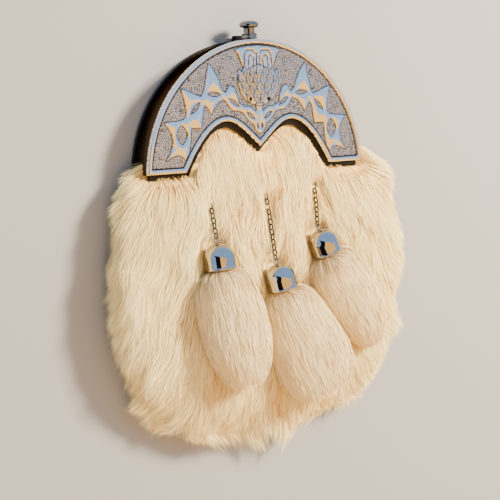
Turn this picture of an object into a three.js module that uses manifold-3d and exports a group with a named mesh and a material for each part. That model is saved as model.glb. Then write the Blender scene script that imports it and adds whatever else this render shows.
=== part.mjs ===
// Full dress sporran: a metal thistle cantle over a hollow leather pouch with a deep fur front
// and three fur tassels that hang on chains.
// Millimetres. X to the viewer's right, Y up towards the clasp button, Z out of the front.
// Shapes are made round the centre of the cantle's arc, with the belt loops' rear faces at z = 0.
import * as THREE from "three";
import { mergeVertices } from "three/addons/utils/BufferGeometryUtils.js";
import Module from "manifold-3d";

const wasm = await Module();
wasm.setup();

// Fits
const gap = 0.3; // between neighbouring pieces
const bed = 0.8; // round a chain or tassel that lies in the fur
const embed = 0.4; // how far relief, locks and loops sink into what carries them
const overcut = 1; // how far a cutting tool runs past what it cuts
const aboveAll = 100; // higher than any piece

// Leather thicknesses and the stack from back to front
const loopThickness = 1.6;
const backThickness = 2.2;
const pouchWall = 2;
const backingThickness = 2.2;
const bandDepth = 13;
const plateThickness = 1.5;
const backZ = loopThickness + gap;
const pouchZ = backZ + backThickness + gap;
const plateZ = pouchZ + bandDepth + gap;
const plateFrontZ = plateZ + plateThickness;
const backingZ = plateZ - gap - backingThickness;

// Cantle outline
const cantleRadius = 75;
const legBottomY = 4;
const legWidth = 24.6;
const archTopX = 22.5;
const archTopY = 30.4;
const veeTipY = 15.9;
const rimWidth = 2.5;
const rimHeight = 1;
const bandThickness = 1.4;
const backingOverhang = 3.3; // past the arches and the leg ends
const arcSides = 32; // of a half turn

// How the lower edge bends, in shares of the leg's width, the edge's rise and the arch's half width
const edgeBend = {
  legShift: 0.6,
  legPull: 0.3,
  legRise: 0.5,
  archPull: 0.38,
  archFlat: 0.67,
  veePull: 0.4,
  veeRise: 0.52,
};

// Relief on the plate
const reliefEdge = 0.55; // height of a leaf at its edge
const reliefRidge = 1.35; // and along its ridge
const tuftHeight = 0.8;
const bulbHeight = 2.4;
const bladeTaper = 1.15;
const bladeTip = 0.12; // half width of a leaf at its tip
const bladeFall = 0.75; // share of its ridge's height that a leaf loses towards its tip
const eyeSteps = 3;
const eyeFullness = 0.8;
const domeSides = 10;
const domeRings = 6;

// Clasp button
const buttonZ = plateFrontZ - 6.5;
const collarRadius = 4.6;
const collarHeight = 3;
const neckRadius = 3.2;
const neckShown = 3.2;
const headRadius = 5.5;
const headHeight = 3.9;
const stemRadius = 1.4;
const keeperRadius = 2.1;
const keeperThickness = 0.8;
const buttonTravel = 2.5;
const collarChamfer = 0.6;
const turnedSides = 16;
const headProfile = [
  { inset: 0.5, height: 0 },
  { inset: 0, height: 0.2 },
  { inset: 0.2, height: 0.6 },
  { inset: 1.6, height: 0.93 },
];

// Pouch of leather
const pouchHalfWidth = 82;
const pouchBottomY = -132;
const pouchTopY = 36;
const pouchDepth = 12.5; // from the back panel to the belly
const gussetHeight = 6;
const tabWidth = 9;
const tabRise = 3;
const tabCorner = 1.2;
const pouchSquareness = 3.2;
const pouchSteps = 8;

// Belt loops on the back
const loopWidth = 22;
const loopLength = 88;
const loopX = 40;
const loopTopY = 38;
const loopCorner = 3;

// Fur front
const furHalfWidth = 97;
const furBottomY = -144;
const furTopY = 30;
const furFloor = 1; // the fur's rear edge stays this far above the belt loops' rear faces
const furSide = 0.58; // share of its height at which the fur is widest
const furTuck = 8; // how far its rear edge is drawn in
const furCrownZ = 27;
const furSquareness = 2.6;
const furSteps = 10;
const edgeLockZ = 7; // how far in front of the fur's rear edge the bottom locks are rooted
const frontward = new THREE.Vector3(0, 0, 1);

// Locks of fur: how many, how thick, and how far they bow. The side locks start at a share of the
// way down, fall by a share and reach out by a length. The bottom locks start above the lower edge.
const sideLocks = {
  count: 8, from: 0.15, span: 0.72, across: 0.9, fall: 0.13, reach: 5, spread: 4, lift: 2,
  sunk: 6, width: 24, thickness: 10, bow: 0.2,
};
const bottomLocks = {
  count: 6, across: 0.62, above: 13, arch: 12, splay: 9, fall: 21, spread: 4, lift: 3,
  width: 25, thickness: 11, bow: 0.2,
};
const frontLock = {
  across: 0.86, splay: 1.03, fall: 0.15, spread: 0.03, sunk: 1.5, proud: 0.9,
  width: 24, thickness: 7, bow: 0.25,
};
const tasselLock = {
  fall: 0.28, spread: 0.06, sunk: 2.5, proud: 0.5, width: 13, thickness: 6, bow: 0.1,
};
const lockTaper = 0.8;
const lockTip = 0.06; // share of its width that a lock keeps at its tip

// Chains, bells and tassels
const wireRadius = 0.4;
const linkHalfWidth = 1.2; // from a link's middle to the middle of its wire
const linkPitch = 3.05;
const linkHold = 0.75; // wires of neighbouring links press together: 1 would only touch
const linkSides = 10;
const wireSides = 5;
const eyeRadius = 1.5;
const postRadius = 0.9;
const bellRadius = 8.6;
const bellHeight = 14;
const bellWall = 0.9;
const bellLoopRadius = 1.6;
const bellLip = 0.4;
const bellSides = 12;
const chainBow = 1.2; // how far a chain's middle lies in front of a straight line
const lockRelief = 2.2; // how far a tassel's locks stand out of its rounded form
const tasselThickness = 0.56; // of the tassel's width
const tasselSides = 10;
const headWidth = 0.88; // of the bell's hollow
const headHeightInBell = 0.45; // of the bell's height, measured down from its top

// One row for each tassel: where its chain's eye and its bell's loop are, how far the bell's axis
// would lie to the right of the loop and in front of it by the tip, the fur's length and width, how
// far its tip bends to the right of that axis, and by what share it is wider towards the tip.
const tassels = [
  {
    name: "left", eyeX: -38.4, eyeY: -2, eyeZ: 20, loopX: -40.8, loopY: -32.2, loopZ: 31,
    lean: 7, rise: 5, length: 81, width: 41, bend: 7, flare: 0,
  },
  {
    name: "middle", eyeX: 0.3, eyeY: -5, eyeZ: 21, loopX: -1.6, loopY: -47.8, loopZ: 32,
    lean: 21, rise: 1, length: 85, width: 42, bend: 14, flare: 0.6,
  },
  {
    name: "right", eyeX: 37, eyeY: -2, eyeZ: 20, loopX: 31, loopY: -31.8, loopZ: 30.5,
    lean: 31, rise: 0, length: 81, width: 42, bend: 11, flare: -0.3,
  },
];

// Sections of the leather pouch, top to bottom: y as a share of the way from top to bottom,
// width and depth as shares of the half width and the depth.
const pouchSections = [
  { y: 0, width: 0.7, depth: 0.68 },
  { y: 0.18, width: 0.84, depth: 0.68 },
  { y: 0.24, width: 0.94, depth: 0.76 },
  { y: 0.36, width: 1, depth: 0.9 },
  { y: 0.56, width: 1, depth: 1 },
  { y: 0.76, width: 0.93, depth: 0.98 },
  { y: 0.89, width: 0.76, depth: 0.9 },
  { y: 0.97, width: 0.5, depth: 0.78 },
  { y: 1, width: 0.28, depth: 0.7 },
];

// Sections of the fur in the same way: height is the share of the crown's height.
const furSections = [
  { y: 0, width: 0.6, height: 0.5 },
  { y: 0.1, width: 0.7, height: 0.56 },
  { y: 0.13, width: 0.92, height: 0.6 },
  { y: 0.18, width: 0.985, height: 0.66 },
  { y: 0.28, width: 1, height: 0.83 },
  { y: 0.42, width: 1.02, height: 0.97 },
  { y: 0.56, width: 1.02, height: 1 },
  { y: 0.7, width: 0.985, height: 0.99 },
  { y: 0.82, width: 0.92, height: 0.9 },
  { y: 0.91, width: 0.81, height: 0.75 },
  { y: 0.97, width: 0.64, height: 0.58 },
  { y: 1, width: 0.42, height: 0.42 },
];

// Rows of locks down the fur's front: share of the way from top to bottom, and number.
const frontLockRows = [
  { share: 0.3, count: 5 },
  { share: 0.56, count: 3 },
  { share: 0.8, count: 4 },
];

// Sections of a tassel from under its bell's rim to its tip: along is the share of its length,
// size the share of its half width.
const tasselSections = [
  { along: 0, size: 0.5 },
  { along: 0.05, size: 0.76 },
  { along: 0.14, size: 0.92 },
  { along: 0.3, size: 1 },
  { along: 0.52, size: 0.98 },
  { along: 0.72, size: 0.86 },
  { along: 0.88, size: 0.6 },
  { along: 1, size: 0.2 },
];

// The bell's hollow from its top to its rim, and its outside from the rim to the top: the radius
// as a share of the hollow's or the outside's, and how far down.
const bellHollow = [
  { radius: 0, depth: 0 },
  { radius: 0.6, depth: 0.09 },
  { radius: 1, depth: 0.52 },
];
const bellOutside = [
  { radius: 1, depth: 0.92 },
  { radius: 1, depth: 0.58 },
  { radius: 0.84, depth: 0.23 },
  { radius: 0.48, depth: 0.04 },
  { radius: 0, depth: 0 },
];

// Rings of locks round a tassel, and by how much of a lock each ring is turned.
const tasselLockRows = [
  { along: 0.36, count: 4, turn: 0.25 },
  { along: 0.68, count: 4, turn: 0.75 },
];

// The right leaf scroll's stem: points along its middle, in shares of the cantle's radius,
// with its half width there.
const scrollStem = [
  { x: 0, y: 0.36, half: 0.036 },
  { x: 0.075, y: 0.437, half: 0.04 },
  { x: 0.147, y: 0.487, half: 0.023 },
  { x: 0.232, y: 0.541, half: 0.053 },
  { x: 0.304, y: 0.581, half: 0.03 },
  { x: 0.407, y: 0.594, half: 0.05 },
  { x: 0.5, y: 0.551, half: 0.04 },
  { x: 0.59, y: 0.445, half: 0.07 },
  { x: 0.7, y: 0.325, half: 0.08 },
  { x: 0.712, y: 0.233, half: 0.05 },
];

// The scroll's pointed lobes, in the same shares: root, tip, half width at the root,
// and how far the middle line bows to its left.
const scrollLobes = [
  { rootX: 0.25, rootY: 0.55, tipX: 0.267, tipY: 0.663, half: 0.056, bow: 0.008 },
  { rootX: 0.413, rootY: 0.58, tipX: 0.447, tipY: 0.824, half: 0.1, bow: 0.006 },
  { rootX: 0.58, rootY: 0.52, tipX: 0.69, tipY: 0.645, half: 0.085, bow: -0.012 },
  { rootX: 0.7, rootY: 0.36, tipX: 0.844, tipY: 0.413, half: 0.072, bow: -0.01 },
  { rootX: 0.735, rootY: 0.26, tipX: 0.841, tipY: 0.145, half: 0.055, bow: 0.016 },
  { rootX: 0.68, rootY: 0.26, tipX: 0.679, tipY: 0.145, half: 0.055, bow: -0.016 },
  { rootX: 0.6, rootY: 0.45, tipX: 0.525, tipY: 0.365, half: 0.08, bow: 0 },
  { rootX: 0.455, rootY: 0.565, tipX: 0.437, tipY: 0.463, half: 0.05, bow: 0 },
];

// Eyes pierced in the scroll down to the ground: their two ends and their width, in the same shares.
const scrollEyes = [
  { fromX: 0.35, fromY: 0.595, toX: 0.467, toY: 0.6, width: 0.04 },
  { fromX: 0.533, fromY: 0.547, toX: 0.617, toY: 0.464, width: 0.036 },
  { fromX: 0.7, fromY: 0.4, toX: 0.7, toY: 0.245, width: 0.092 },
  { fromX: 0.277, fromY: 0.572, toX: 0.185, toY: 0.512, width: 0.032 },
  { fromX: 0.116, fromY: 0.467, toX: 0.043, toY: 0.415, width: 0.03 },
];

// Rows of scales on the thistle's bulb: height, number, spread and length in shares of the radius.
const thistleScales = [
  { y: 0.735, count: 5, spread: 0.12, length: 0.042 },
  { y: 0.675, count: 6, spread: 0.145, length: 0.046 },
  { y: 0.61, count: 5, spread: 0.12, length: 0.042 },
];
// A scale is this wide, high and turned, and its middle lies between two shares of the bulb's height.
const scaleForm = { width: 0.42, height: 0.45, lean: 0.55, sideFall: 0.75, low: 0.35, rise: 0.6 };
const bulb = { y: 0.655, halfWidth: 0.184, halfHeight: 0.148 };
const tuft = {
  rootY: 0.755, tipY: 0.93, rootSpread: 0.085, tipSpread: 0.115, count: 5,
  rootLap: 0.02, tipFall: 0.015, half: 0.024, bow: 0.01, ridge: 1.6,
};
const foot = { y: 0.355, halfWidth: 0.045, halfHeight: 0.05 };
const stalk = { lowY: 0.36, lowHalf: 0.023, highY: 0.53, highHalf: 0.035 };
const sideLeaf = { rootX: 0.1, rootY: 0.75, tipX: 0.193, tipY: 0.913, half: 0.05, bow: -0.012 };

const metal = { color: 0xb9bbc0, roughness: 0.25, metalness: 1 };
const brightMetal = { color: 0xd5d8dc, roughness: 0.08, metalness: 1 };
const leather = { color: 0x141313, roughness: 0.5, metalness: 0 };
const bodyFur = { color: 0xeadcc3, roughness: 0.9, metalness: 0 };
const tasselFur = { color: 0xe6d8c4, roughness: 0.9, metalness: 0 };

// Helpers

// A repeatable number from 0 to 1 for each whole number, so that locks vary a little.
function vary(index) {
  const wave = Math.sin(index * 12.9898 + 4.1414) * 43758.5453;
  return wave - Math.floor(wave);
}

// A closed geometry as a solid that joins and cuts, with its faces turned outwards.
function solid(geometry) {
  const bare = geometry.clone();
  bare.deleteAttribute("normal");
  bare.deleteAttribute("uv");
  const merged = mergeVertices(bare, 1e-4);
  const vertProperties = merged.attributes.position.array;
  const triVerts = new Uint32Array(merged.index.array);
  const made = new wasm.Manifold(new wasm.Mesh({ numProp: 3, vertProperties, triVerts }));
  if (made.volume() > 0) return made;
  for (let i = 0; i < triVerts.length; i += 3) {
    [triVerts[i + 1], triVerts[i + 2]] = [triVerts[i + 2], triVerts[i + 1]];
  }
  return new wasm.Manifold(new wasm.Mesh({ numProp: 3, vertProperties, triVerts }));
}

function geometryOf(shape) {
  const mesh = shape.getMesh();
  const geometry = new THREE.BufferGeometry();
  geometry.setAttribute("position", new THREE.BufferAttribute(mesh.vertProperties, 3));
  geometry.setIndex(new THREE.BufferAttribute(mesh.triVerts, 1));
  return geometry;
}

function join(solids) {
  return solids.reduce((whole, next) => whole.add(next));
}

// A closed skin over rings of points, with a flat end on the first and the last ring.
function loft(rings) {
  const count = rings[0].length;
  const positions = rings.flat().flatMap((p) => [p.x, p.y, p.z]);
  const index = [];
  for (let r = 0; r + 1 < rings.length; r++) {
    for (let i = 0; i < count; i++) {
      const a = r * count + i;
      const b = r * count + ((i + 1) % count);
      index.push(a, b, b + count, a, b + count, a + count);
    }
  }
  const last = (rings.length - 1) * count;
  for (let i = 1; i + 1 < count; i++) {
    index.push(0, i + 1, i);
    index.push(last, last + i, last + i + 1);
  }
  const geometry = new THREE.BufferGeometry();
  geometry.setAttribute("position", new THREE.Float32BufferAttribute(positions, 3));
  geometry.setIndex(index);
  return geometry;
}

// A flat shape as a slab from z = low to z = high.
function slab(shape, low, high, curveSegments = 12) {
  const geometry = new THREE.ExtrudeGeometry(shape, {
    depth: high - low,
    bevelEnabled: false,
    curveSegments,
  });
  return solid(geometry.translate(0, 0, low));
}

// A lathe turned about the Y axis from (radius, height) pairs.
function turned(profile, segments) {
  return new THREE.LatheGeometry(profile.map(([r, y]) => new THREE.Vector2(r, y)), segments);
}

function shapeOf(points) {
  return new THREE.Shape(points.map((p) => new THREE.Vector2(p.x, p.y)));
}

function mirroredX(geometry) {
  return geometry.clone().scale(-1, 1, 1);
}

// Cantle

// The right half of the lower edge, from the leg's inner corner over the arch to the middle tip,
// moved outwards, which is down and away from the metal, by the margin.
function archEdge(margin, steps) {
  const legInnerX = cantleRadius - legWidth - margin * edgeBend.legShift;
  const bottomY = legBottomY - margin;
  const topY = archTopY - margin;
  const tipY = veeTipY - margin;
  const rise = topY - bottomY;
  const outer = new THREE.CubicBezierCurve(
    new THREE.Vector2(legInnerX, bottomY),
    new THREE.Vector2(legInnerX - legWidth * edgeBend.legPull, bottomY + rise * edgeBend.legRise),
    new THREE.Vector2(archTopX + (legInnerX - archTopX) * edgeBend.archPull, topY),
    new THREE.Vector2(archTopX, topY),
  );
  const inner = new THREE.CubicBezierCurve(
    new THREE.Vector2(archTopX, topY),
    new THREE.Vector2(archTopX * edgeBend.archFlat, topY),
    new THREE.Vector2(archTopX * edgeBend.veePull, tipY + (topY - tipY) * edgeBend.veeRise),
    new THREE.Vector2(0, tipY),
  );
  return [...outer.getPoints(steps), ...inner.getPoints(steps).slice(1)];
}

// The cantle's outline: the arc at this radius, and the lower edge moved out by the margin.
function cantleShape(radius, margin, arcSteps = arcSides, edgeSteps = 6) {
  const bottomY = legBottomY - margin;
  const start = Math.asin(bottomY / radius);
  const points = [];
  for (let i = 0; i <= arcSteps; i++) {
    const angle = start + ((Math.PI - 2 * start) * i) / arcSteps;
    points.push({ x: radius * Math.cos(angle), y: radius * Math.sin(angle) });
  }
  const right = archEdge(margin, edgeSteps);
  const left = right.map((p) => ({ x: -p.x, y: p.y }));
  right.reverse();
  return shapeOf([...points, ...left, ...right.slice(1)]);
}

// A ridged leaf blade on the plate from root to tip, in shares of the radius.
function blade({ rootX, rootY, tipX, tipY, half, bow }, height = reliefRidge, stations = 2) {
  const root = new THREE.Vector2(rootX, rootY).multiplyScalar(cantleRadius);
  const tip = new THREE.Vector2(tipX, tipY).multiplyScalar(cantleRadius);
  const along = tip.clone().sub(root);
  const side = new THREE.Vector2(-along.y, along.x).normalize();
  const rings = [];
  for (let i = 0; i <= stations; i++) {
    const t = i / stations;
    const middle = root.clone().addScaledVector(along, t);
    middle.addScaledVector(side, 4 * t * (1 - t) * bow * cantleRadius);
    const width = cantleRadius * half * (1 - t) ** bladeTaper + bladeTip;
    const ridge = reliefEdge + (height - reliefEdge) * (1 - bladeFall * t);
    rings.push(bladeRing(middle, side, width, ridge));
  }
  return solid(loft(rings));
}

function bladeRing(middle, side, width, ridge) {
  const at = (across, z) => new THREE.Vector3(
    middle.x + side.x * across,
    middle.y + side.y * across,
    plateFrontZ + z,
  );
  return [
    at(-width, -embed),
    at(-width, reliefEdge),
    at(0, ridge),
    at(width, reliefEdge),
    at(width, -embed),
  ];
}

// The scroll's stem as a ridged band through its rows.
function stemBand(rows) {
  const middle = new THREE.SplineCurve(
    rows.map((row) => new THREE.Vector2(row.x, row.y).multiplyScalar(cantleRadius)),
  );
  const halves = new THREE.SplineCurve(
    rows.map((row, i) => new THREE.Vector2(i, row.half * cantleRadius)),
  );
  const stations = rows.length;
  const rings = [];
  for (let i = 0; i <= stations; i++) {
    const t = i / stations;
    const tangent = middle.getTangent(t);
    const side = new THREE.Vector2(-tangent.y, tangent.x);
    rings.push(bladeRing(middle.getPoint(t), side, halves.getPoint(t).y, reliefRidge));
  }
  return solid(loft(rings));
}

// A pointed oval prism between two points, for piercing the relief.
function eyeCutter({ fromX, fromY, toX, toY, width }) {
  const from = new THREE.Vector2(fromX, fromY).multiplyScalar(cantleRadius);
  const to = new THREE.Vector2(toX, toY).multiplyScalar(cantleRadius);
  const along = to.clone().sub(from);
  const side = new THREE.Vector2(-along.y, along.x).normalize();
  const halfWidth = (width * cantleRadius) / 2;
  const edge = (sign) => {
    const points = [];
    for (let i = 0; i < eyeSteps; i++) {
      const t = sign > 0 ? i / eyeSteps : 1 - i / eyeSteps;
      const bulge = sign * halfWidth * Math.sin(Math.PI * t) ** eyeFullness;
      points.push(from.clone().addScaledVector(along, t).addScaledVector(side, bulge));
    }
    return points;
  };
  return slab(shapeOf([...edge(1), ...edge(-1)]), plateFrontZ, plateFrontZ + bulbHeight * 2);
}

function leafScroll() {
  const lobes = scrollLobes.map((lobe) => blade(lobe));
  const whole = join([stemBand(scrollStem), ...lobes]);
  return scrollEyes.reduce((rest, eye) => rest.subtract(eyeCutter(eye)), whole);
}

function thistleBulb() {
  const dome = new THREE.SphereGeometry(1, domeSides, domeRings);
  dome.rotateX(Math.PI / 2);
  dome.scale(bulb.halfWidth * cantleRadius, bulb.halfHeight * cantleRadius, bulbHeight);
  dome.translate(0, bulb.y * cantleRadius, plateFrontZ);
  const scales = thistleScales.flatMap((row) => {
    const made = [];
    for (let i = 0; i < row.count; i++) {
      const across = (2 * i) / (row.count - 1) - 1;
      const scale = new THREE.OctahedronGeometry(row.length * cantleRadius);
      scale.scale(scaleForm.width, 1, scaleForm.height);
      scale.rotateZ(-across * scaleForm.lean);
      const fall = 1 - scaleForm.sideFall * across * across;
      scale.translate(
        across * row.spread * cantleRadius,
        row.y * cantleRadius,
        plateFrontZ + bulbHeight * (scaleForm.low + scaleForm.rise * fall),
      );
      made.push(solid(scale));
    }
    return made;
  });
  return join([solid(dome), ...scales]);
}

function thistleTuft() {
  const strands = [];
  for (let i = 0; i < tuft.count; i++) {
    const across = (2 * i) / (tuft.count - 1) - 1;
    strands.push(blade({
      rootX: across * tuft.rootSpread,
      rootY: tuft.rootY - tuft.rootLap,
      tipX: across * tuft.tipSpread,
      tipY: tuft.tipY - tuft.tipFall * across * across,
      half: tuft.half,
      bow: -across * tuft.bow,
    }, tuft.ridge));
  }
  const fan = slab(shapeOf([
    { x: -tuft.rootSpread * cantleRadius, y: tuft.rootY * cantleRadius },
    { x: tuft.rootSpread * cantleRadius, y: tuft.rootY * cantleRadius },
    { x: tuft.tipSpread * cantleRadius, y: tuft.tipY * cantleRadius },
    { x: -tuft.tipSpread * cantleRadius, y: tuft.tipY * cantleRadius },
  ]), plateFrontZ - embed, plateFrontZ + tuftHeight);
  const left = { ...sideLeaf, rootX: -sideLeaf.rootX, tipX: -sideLeaf.tipX, bow: -sideLeaf.bow };
  return join([fan, blade(sideLeaf), blade(left), ...strands]);
}

function thistleFoot() {
  const dome = new THREE.SphereGeometry(1, domeSides, domeRings);
  dome.scale(foot.halfWidth * cantleRadius, foot.halfHeight * cantleRadius, reliefRidge);
  return solid(dome.translate(0, foot.y * cantleRadius, plateFrontZ));
}

function thistleStalk() {
  const corners = [
    { x: -stalk.lowHalf * cantleRadius, y: stalk.lowY * cantleRadius },
    { x: stalk.lowHalf * cantleRadius, y: stalk.lowY * cantleRadius },
    { x: stalk.highHalf * cantleRadius, y: stalk.highY * cantleRadius },
    { x: -stalk.highHalf * cantleRadius, y: stalk.highY * cantleRadius },
  ];
  return slab(shapeOf(corners), plateFrontZ - embed, plateFrontZ + reliefRidge);
}

function cantlePlate() {
  const outline = cantleShape(cantleRadius, 0);
  const ground = slab(outline, plateZ, plateFrontZ);
  const rimTop = plateFrontZ + rimHeight;
  const inside = slab(cantleShape(cantleRadius - rimWidth, -rimWidth), plateZ, rimTop + overcut);
  const rim = slab(outline, plateFrontZ - embed, rimTop).subtract(inside);
  const right = leafScroll();
  const left = solid(mirroredX(geometryOf(right)));
  const relief = join([right, left, thistleFoot(), thistleStalk(), thistleBulb(), thistleTuft()]);
  const raised = relief.intersect(layer(plateFrontZ - embed, aboveAll));
  return join([ground, rim, raised]);
}

// A strip of the arc between two radii, from leg end to leg end.
function arcStrip(outerRadius, innerRadius, low, high, bottomY) {
  const points = [];
  for (const [radius, backwards] of [[outerRadius, false], [innerRadius, true]]) {
    const start = Math.asin(bottomY / radius);
    for (let i = 0; i <= arcSides; i++) {
      const share = backwards ? 1 - i / arcSides : i / arcSides;
      const angle = start + (Math.PI - 2 * start) * share;
      points.push({ x: radius * Math.cos(angle), y: radius * Math.sin(angle) });
    }
  }
  return slab(shapeOf(points), low, high);
}

function cantleBand() {
  const strip = arcStrip(
    cantleRadius - gap,
    cantleRadius - gap - bandThickness,
    pouchZ,
    plateZ - gap,
    legBottomY,
  );
  const boreRadius = stemRadius + gap;
  const boreLength = 2 * (bandThickness + gap) + overcut;
  const bore = new THREE.CylinderGeometry(boreRadius, boreRadius, boreLength, turnedSides);
  bore.translate(0, cantleRadius, buttonZ);
  return strip.subtract(solid(bore));
}

function cantleBacking() {
  const radius = cantleRadius - gap - bandThickness - gap;
  return slab(cantleShape(radius, backingOverhang), backingZ, backingZ + backingThickness);
}

// Clasp button

const collarTopY = cantleRadius + gap + collarHeight;
const headY = collarTopY + neckShown;

function buttonCollar() {
  const bore = neckRadius + gap;
  const geometry = turned([
    [bore, cantleRadius + gap],
    [collarRadius, cantleRadius + gap],
    [collarRadius, collarTopY - collarChamfer],
    [collarRadius - collarChamfer, collarTopY],
    [bore, collarTopY],
    [bore, cantleRadius + gap],
  ], turnedSides);
  return geometry.translate(0, 0, buttonZ);
}

function pushButton() {
  const keeperTopY = cantleRadius - gap - bandThickness - gap * 2;
  const neckEndY = collarTopY - collarHeight + buttonTravel + gap;
  const geometry = turned([
    [0, keeperTopY - keeperThickness],
    [keeperRadius, keeperTopY - keeperThickness],
    [keeperRadius, keeperTopY],
    [stemRadius, keeperTopY],
    [stemRadius, neckEndY],
    [neckRadius, neckEndY],
    [neckRadius, headY],
    ...headProfile.map(({ inset, height }) => [headRadius - inset, headY + headHeight * height]),
    [0, headY + headHeight],
  ], turnedSides);
  return geometry.translate(0, 0, buttonZ);
}

// Pouch

// A section across X: up from the foot at the right, over the crown, and down at the left.
// The foot is drawn in by the tuck.
function domeRing(y, halfWidth, footZ, base, crown, squareness, steps, tuck = 0) {
  const ring = [new THREE.Vector3(halfWidth - tuck, y, footZ)];
  for (let i = 0; i <= steps; i++) {
    const angle = (Math.PI * i) / steps;
    const across = Math.cos(angle);
    const up = Math.sin(angle);
    const x = halfWidth * Math.sign(across) * Math.abs(across) ** (2 / squareness);
    const z = base + (crown - base) * Math.abs(up) ** (2 / squareness);
    ring.push(new THREE.Vector3(x, y, z));
  }
  ring.push(new THREE.Vector3(tuck - halfWidth, y, footZ));
  return ring;
}

// The pouch's form down to the foot, grown by the offset, and at its top end by another.
function pouchForm(offset, footZ, topOffset = offset) {
  const span = pouchTopY - pouchBottomY;
  const last = pouchSections.length - 1;
  const rings = pouchSections.map((row, i) => {
    const end = i === 0 ? topOffset : i === last ? -offset : 0;
    return domeRing(
      pouchTopY - span * row.y + end,
      pouchHalfWidth * row.width + offset,
      footZ,
      pouchZ,
      pouchZ + pouchDepth * row.depth + offset,
      pouchSquareness,
      pouchSteps,
    );
  });
  return solid(loft(rings));
}

function block(low, high) {
  const size = high.clone().sub(low);
  const geometry = new THREE.BoxGeometry(size.x, size.y, size.z);
  const middle = low.clone().addScaledVector(size, 0.5);
  return solid(geometry.translate(middle.x, middle.y, middle.z));
}

// Everything between two heights, wide enough for any piece.
function layer(low, high) {
  const reach = 4 * cantleRadius;
  return block(new THREE.Vector3(-reach, -reach, low), new THREE.Vector3(reach, reach, high));
}

// The moulded walls round a hollow that is open at the top and at the back.
const pouchHollow = pouchForm(-pouchWall, pouchZ - 2 * overcut, pouchWall);
const pouchShell = pouchForm(0, pouchZ - overcut).subtract(pouchHollow);
const seamZ = pouchZ + gussetHeight;

function pouchGusset() {
  return pouchShell.intersect(layer(pouchZ, seamZ));
}

function pouchFront() {
  return pouchShell.intersect(layer(seamZ + gap, aboveAll));
}

// The back panel: the cantle's arc with the tab on top, then the pouch's sides and bottom.
function backShape(margin) {
  const shape = new THREE.Shape();
  const span = pouchTopY - pouchBottomY;
  const radius = cantleRadius - gap + margin;
  const corner = Math.asin(legBottomY / radius);
  const tabTopY = radius + tabRise;
  const tabAngle = Math.asin(tabWidth / 2 / radius);
  shape.absarc(0, 0, radius, corner, Math.PI / 2 - tabAngle, false);
  shape.lineTo(tabWidth / 2, tabTopY - tabCorner);
  shape.quadraticCurveTo(tabWidth / 2, tabTopY, tabWidth / 2 - tabCorner, tabTopY);
  shape.lineTo(tabCorner - tabWidth / 2, tabTopY);
  shape.quadraticCurveTo(-tabWidth / 2, tabTopY, -tabWidth / 2, tabTopY - tabCorner);
  shape.absarc(0, 0, radius, Math.PI / 2 + tabAngle, Math.PI - corner, false);
  const below = pouchSections.filter((row) => pouchTopY - span * row.y < 0);
  const corners = below.map((row, i) => ({
    x: pouchHalfWidth * row.width + margin,
    y: pouchTopY - span * row.y - (i === below.length - 1 ? margin : 0),
  }));
  for (const point of corners) shape.lineTo(-point.x, point.y);
  for (const point of corners.reverse()) shape.lineTo(point.x, point.y);
  return shape;
}

function pouchBack() {
  return slab(backShape(0), backZ, backZ + backThickness, 8);
}

function beltLoop(side) {
  const x = side * loopX;
  const left = x - loopWidth / 2;
  const right = x + loopWidth / 2;
  const bottom = loopTopY - loopLength;
  const shape = shapeOf([
    { x: left + loopCorner, y: bottom },
    { x: right - loopCorner, y: bottom },
    { x: right, y: bottom + loopCorner },
    { x: right, y: loopTopY - loopCorner },
    { x: right - loopCorner, y: loopTopY },
    { x: left + loopCorner, y: loopTopY },
    { x: left, y: loopTopY - loopCorner },
    { x: left, y: bottom + loopCorner },
  ]);
  return slab(shape, 0, loopThickness);
}

// Fur

// A tapering lock from root to tip: a ridge in section, bowed along the lift, flat underneath.
function lock(root, tip, lift, { width, thickness, bow }) {
  const along = tip.clone().sub(root);
  const across = along.clone().cross(lift).normalize();
  const up = across.clone().cross(along).normalize();
  const rings = [0, 0.5, 1].map((t) => {
    const middle = root.clone().addScaledVector(along, t);
    middle.addScaledVector(up, Math.sin(Math.PI * t) * thickness * bow);
    const taper = (1 - t) ** lockTaper + lockTip;
    const half = (width / 2) * taper;
    const deep = (thickness / 2) * taper;
    return [
      middle.clone().addScaledVector(across, half).addScaledVector(up, -deep * 0.5),
      middle.clone().addScaledVector(up, deep),
      middle.clone().addScaledVector(across, -half).addScaledVector(up, -deep * 0.5),
    ];
  });
  return solid(loft(rings));
}

// The row of a section table at a share of the way, blended between its neighbours.
function rowAt(rows, share, key) {
  const next = Math.max(1, rows.findIndex((row) => row[key] >= share));
  const before = rows[next - 1];
  const after = rows[next];
  const t = (share - before[key]) / (after[key] - before[key]);
  const blended = {};
  for (const name of Object.keys(before)) {
    blended[name] = before[name] + (after[name] - before[name]) * t;
  }
  return blended;
}

// A point on the fur's outer form: share goes from top to bottom, across from -1 to 1.
function furPoint(share, across) {
  const row = rowAt(furSections, share, "y");
  const crown = (furCrownZ - furFloor) * row.height;
  const up = Math.sqrt(Math.max(0, 1 - Math.abs(across) ** furSquareness));
  return new THREE.Vector3(
    furHalfWidth * row.width * across,
    furTopY - (furTopY - furBottomY) * row.y,
    furFloor + crown * (furSide + (1 - furSide) * up),
  );
}

// Locks that lie along both sides.
function alongSides() {
  const locks = [];
  for (const side of [-1, 1]) {
    for (let i = 0; i < sideLocks.count; i++) {
      const share = sideLocks.from + (sideLocks.span * i) / (sideLocks.count - 1);
      const root = furPoint(share, side * sideLocks.across);
      root.z -= sideLocks.sunk + sideLocks.lift * vary(i * 5 + side);
      const tip = furPoint(Math.min(1, share + sideLocks.fall), side);
      tip.x += side * (sideLocks.reach + sideLocks.spread * vary(i + 40));
      tip.z -= sideLocks.lift * (1 + vary(i * 7 + side));
      locks.push(lock(root, tip, frontward, sideLocks));
    }
  }
  return locks;
}

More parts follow.
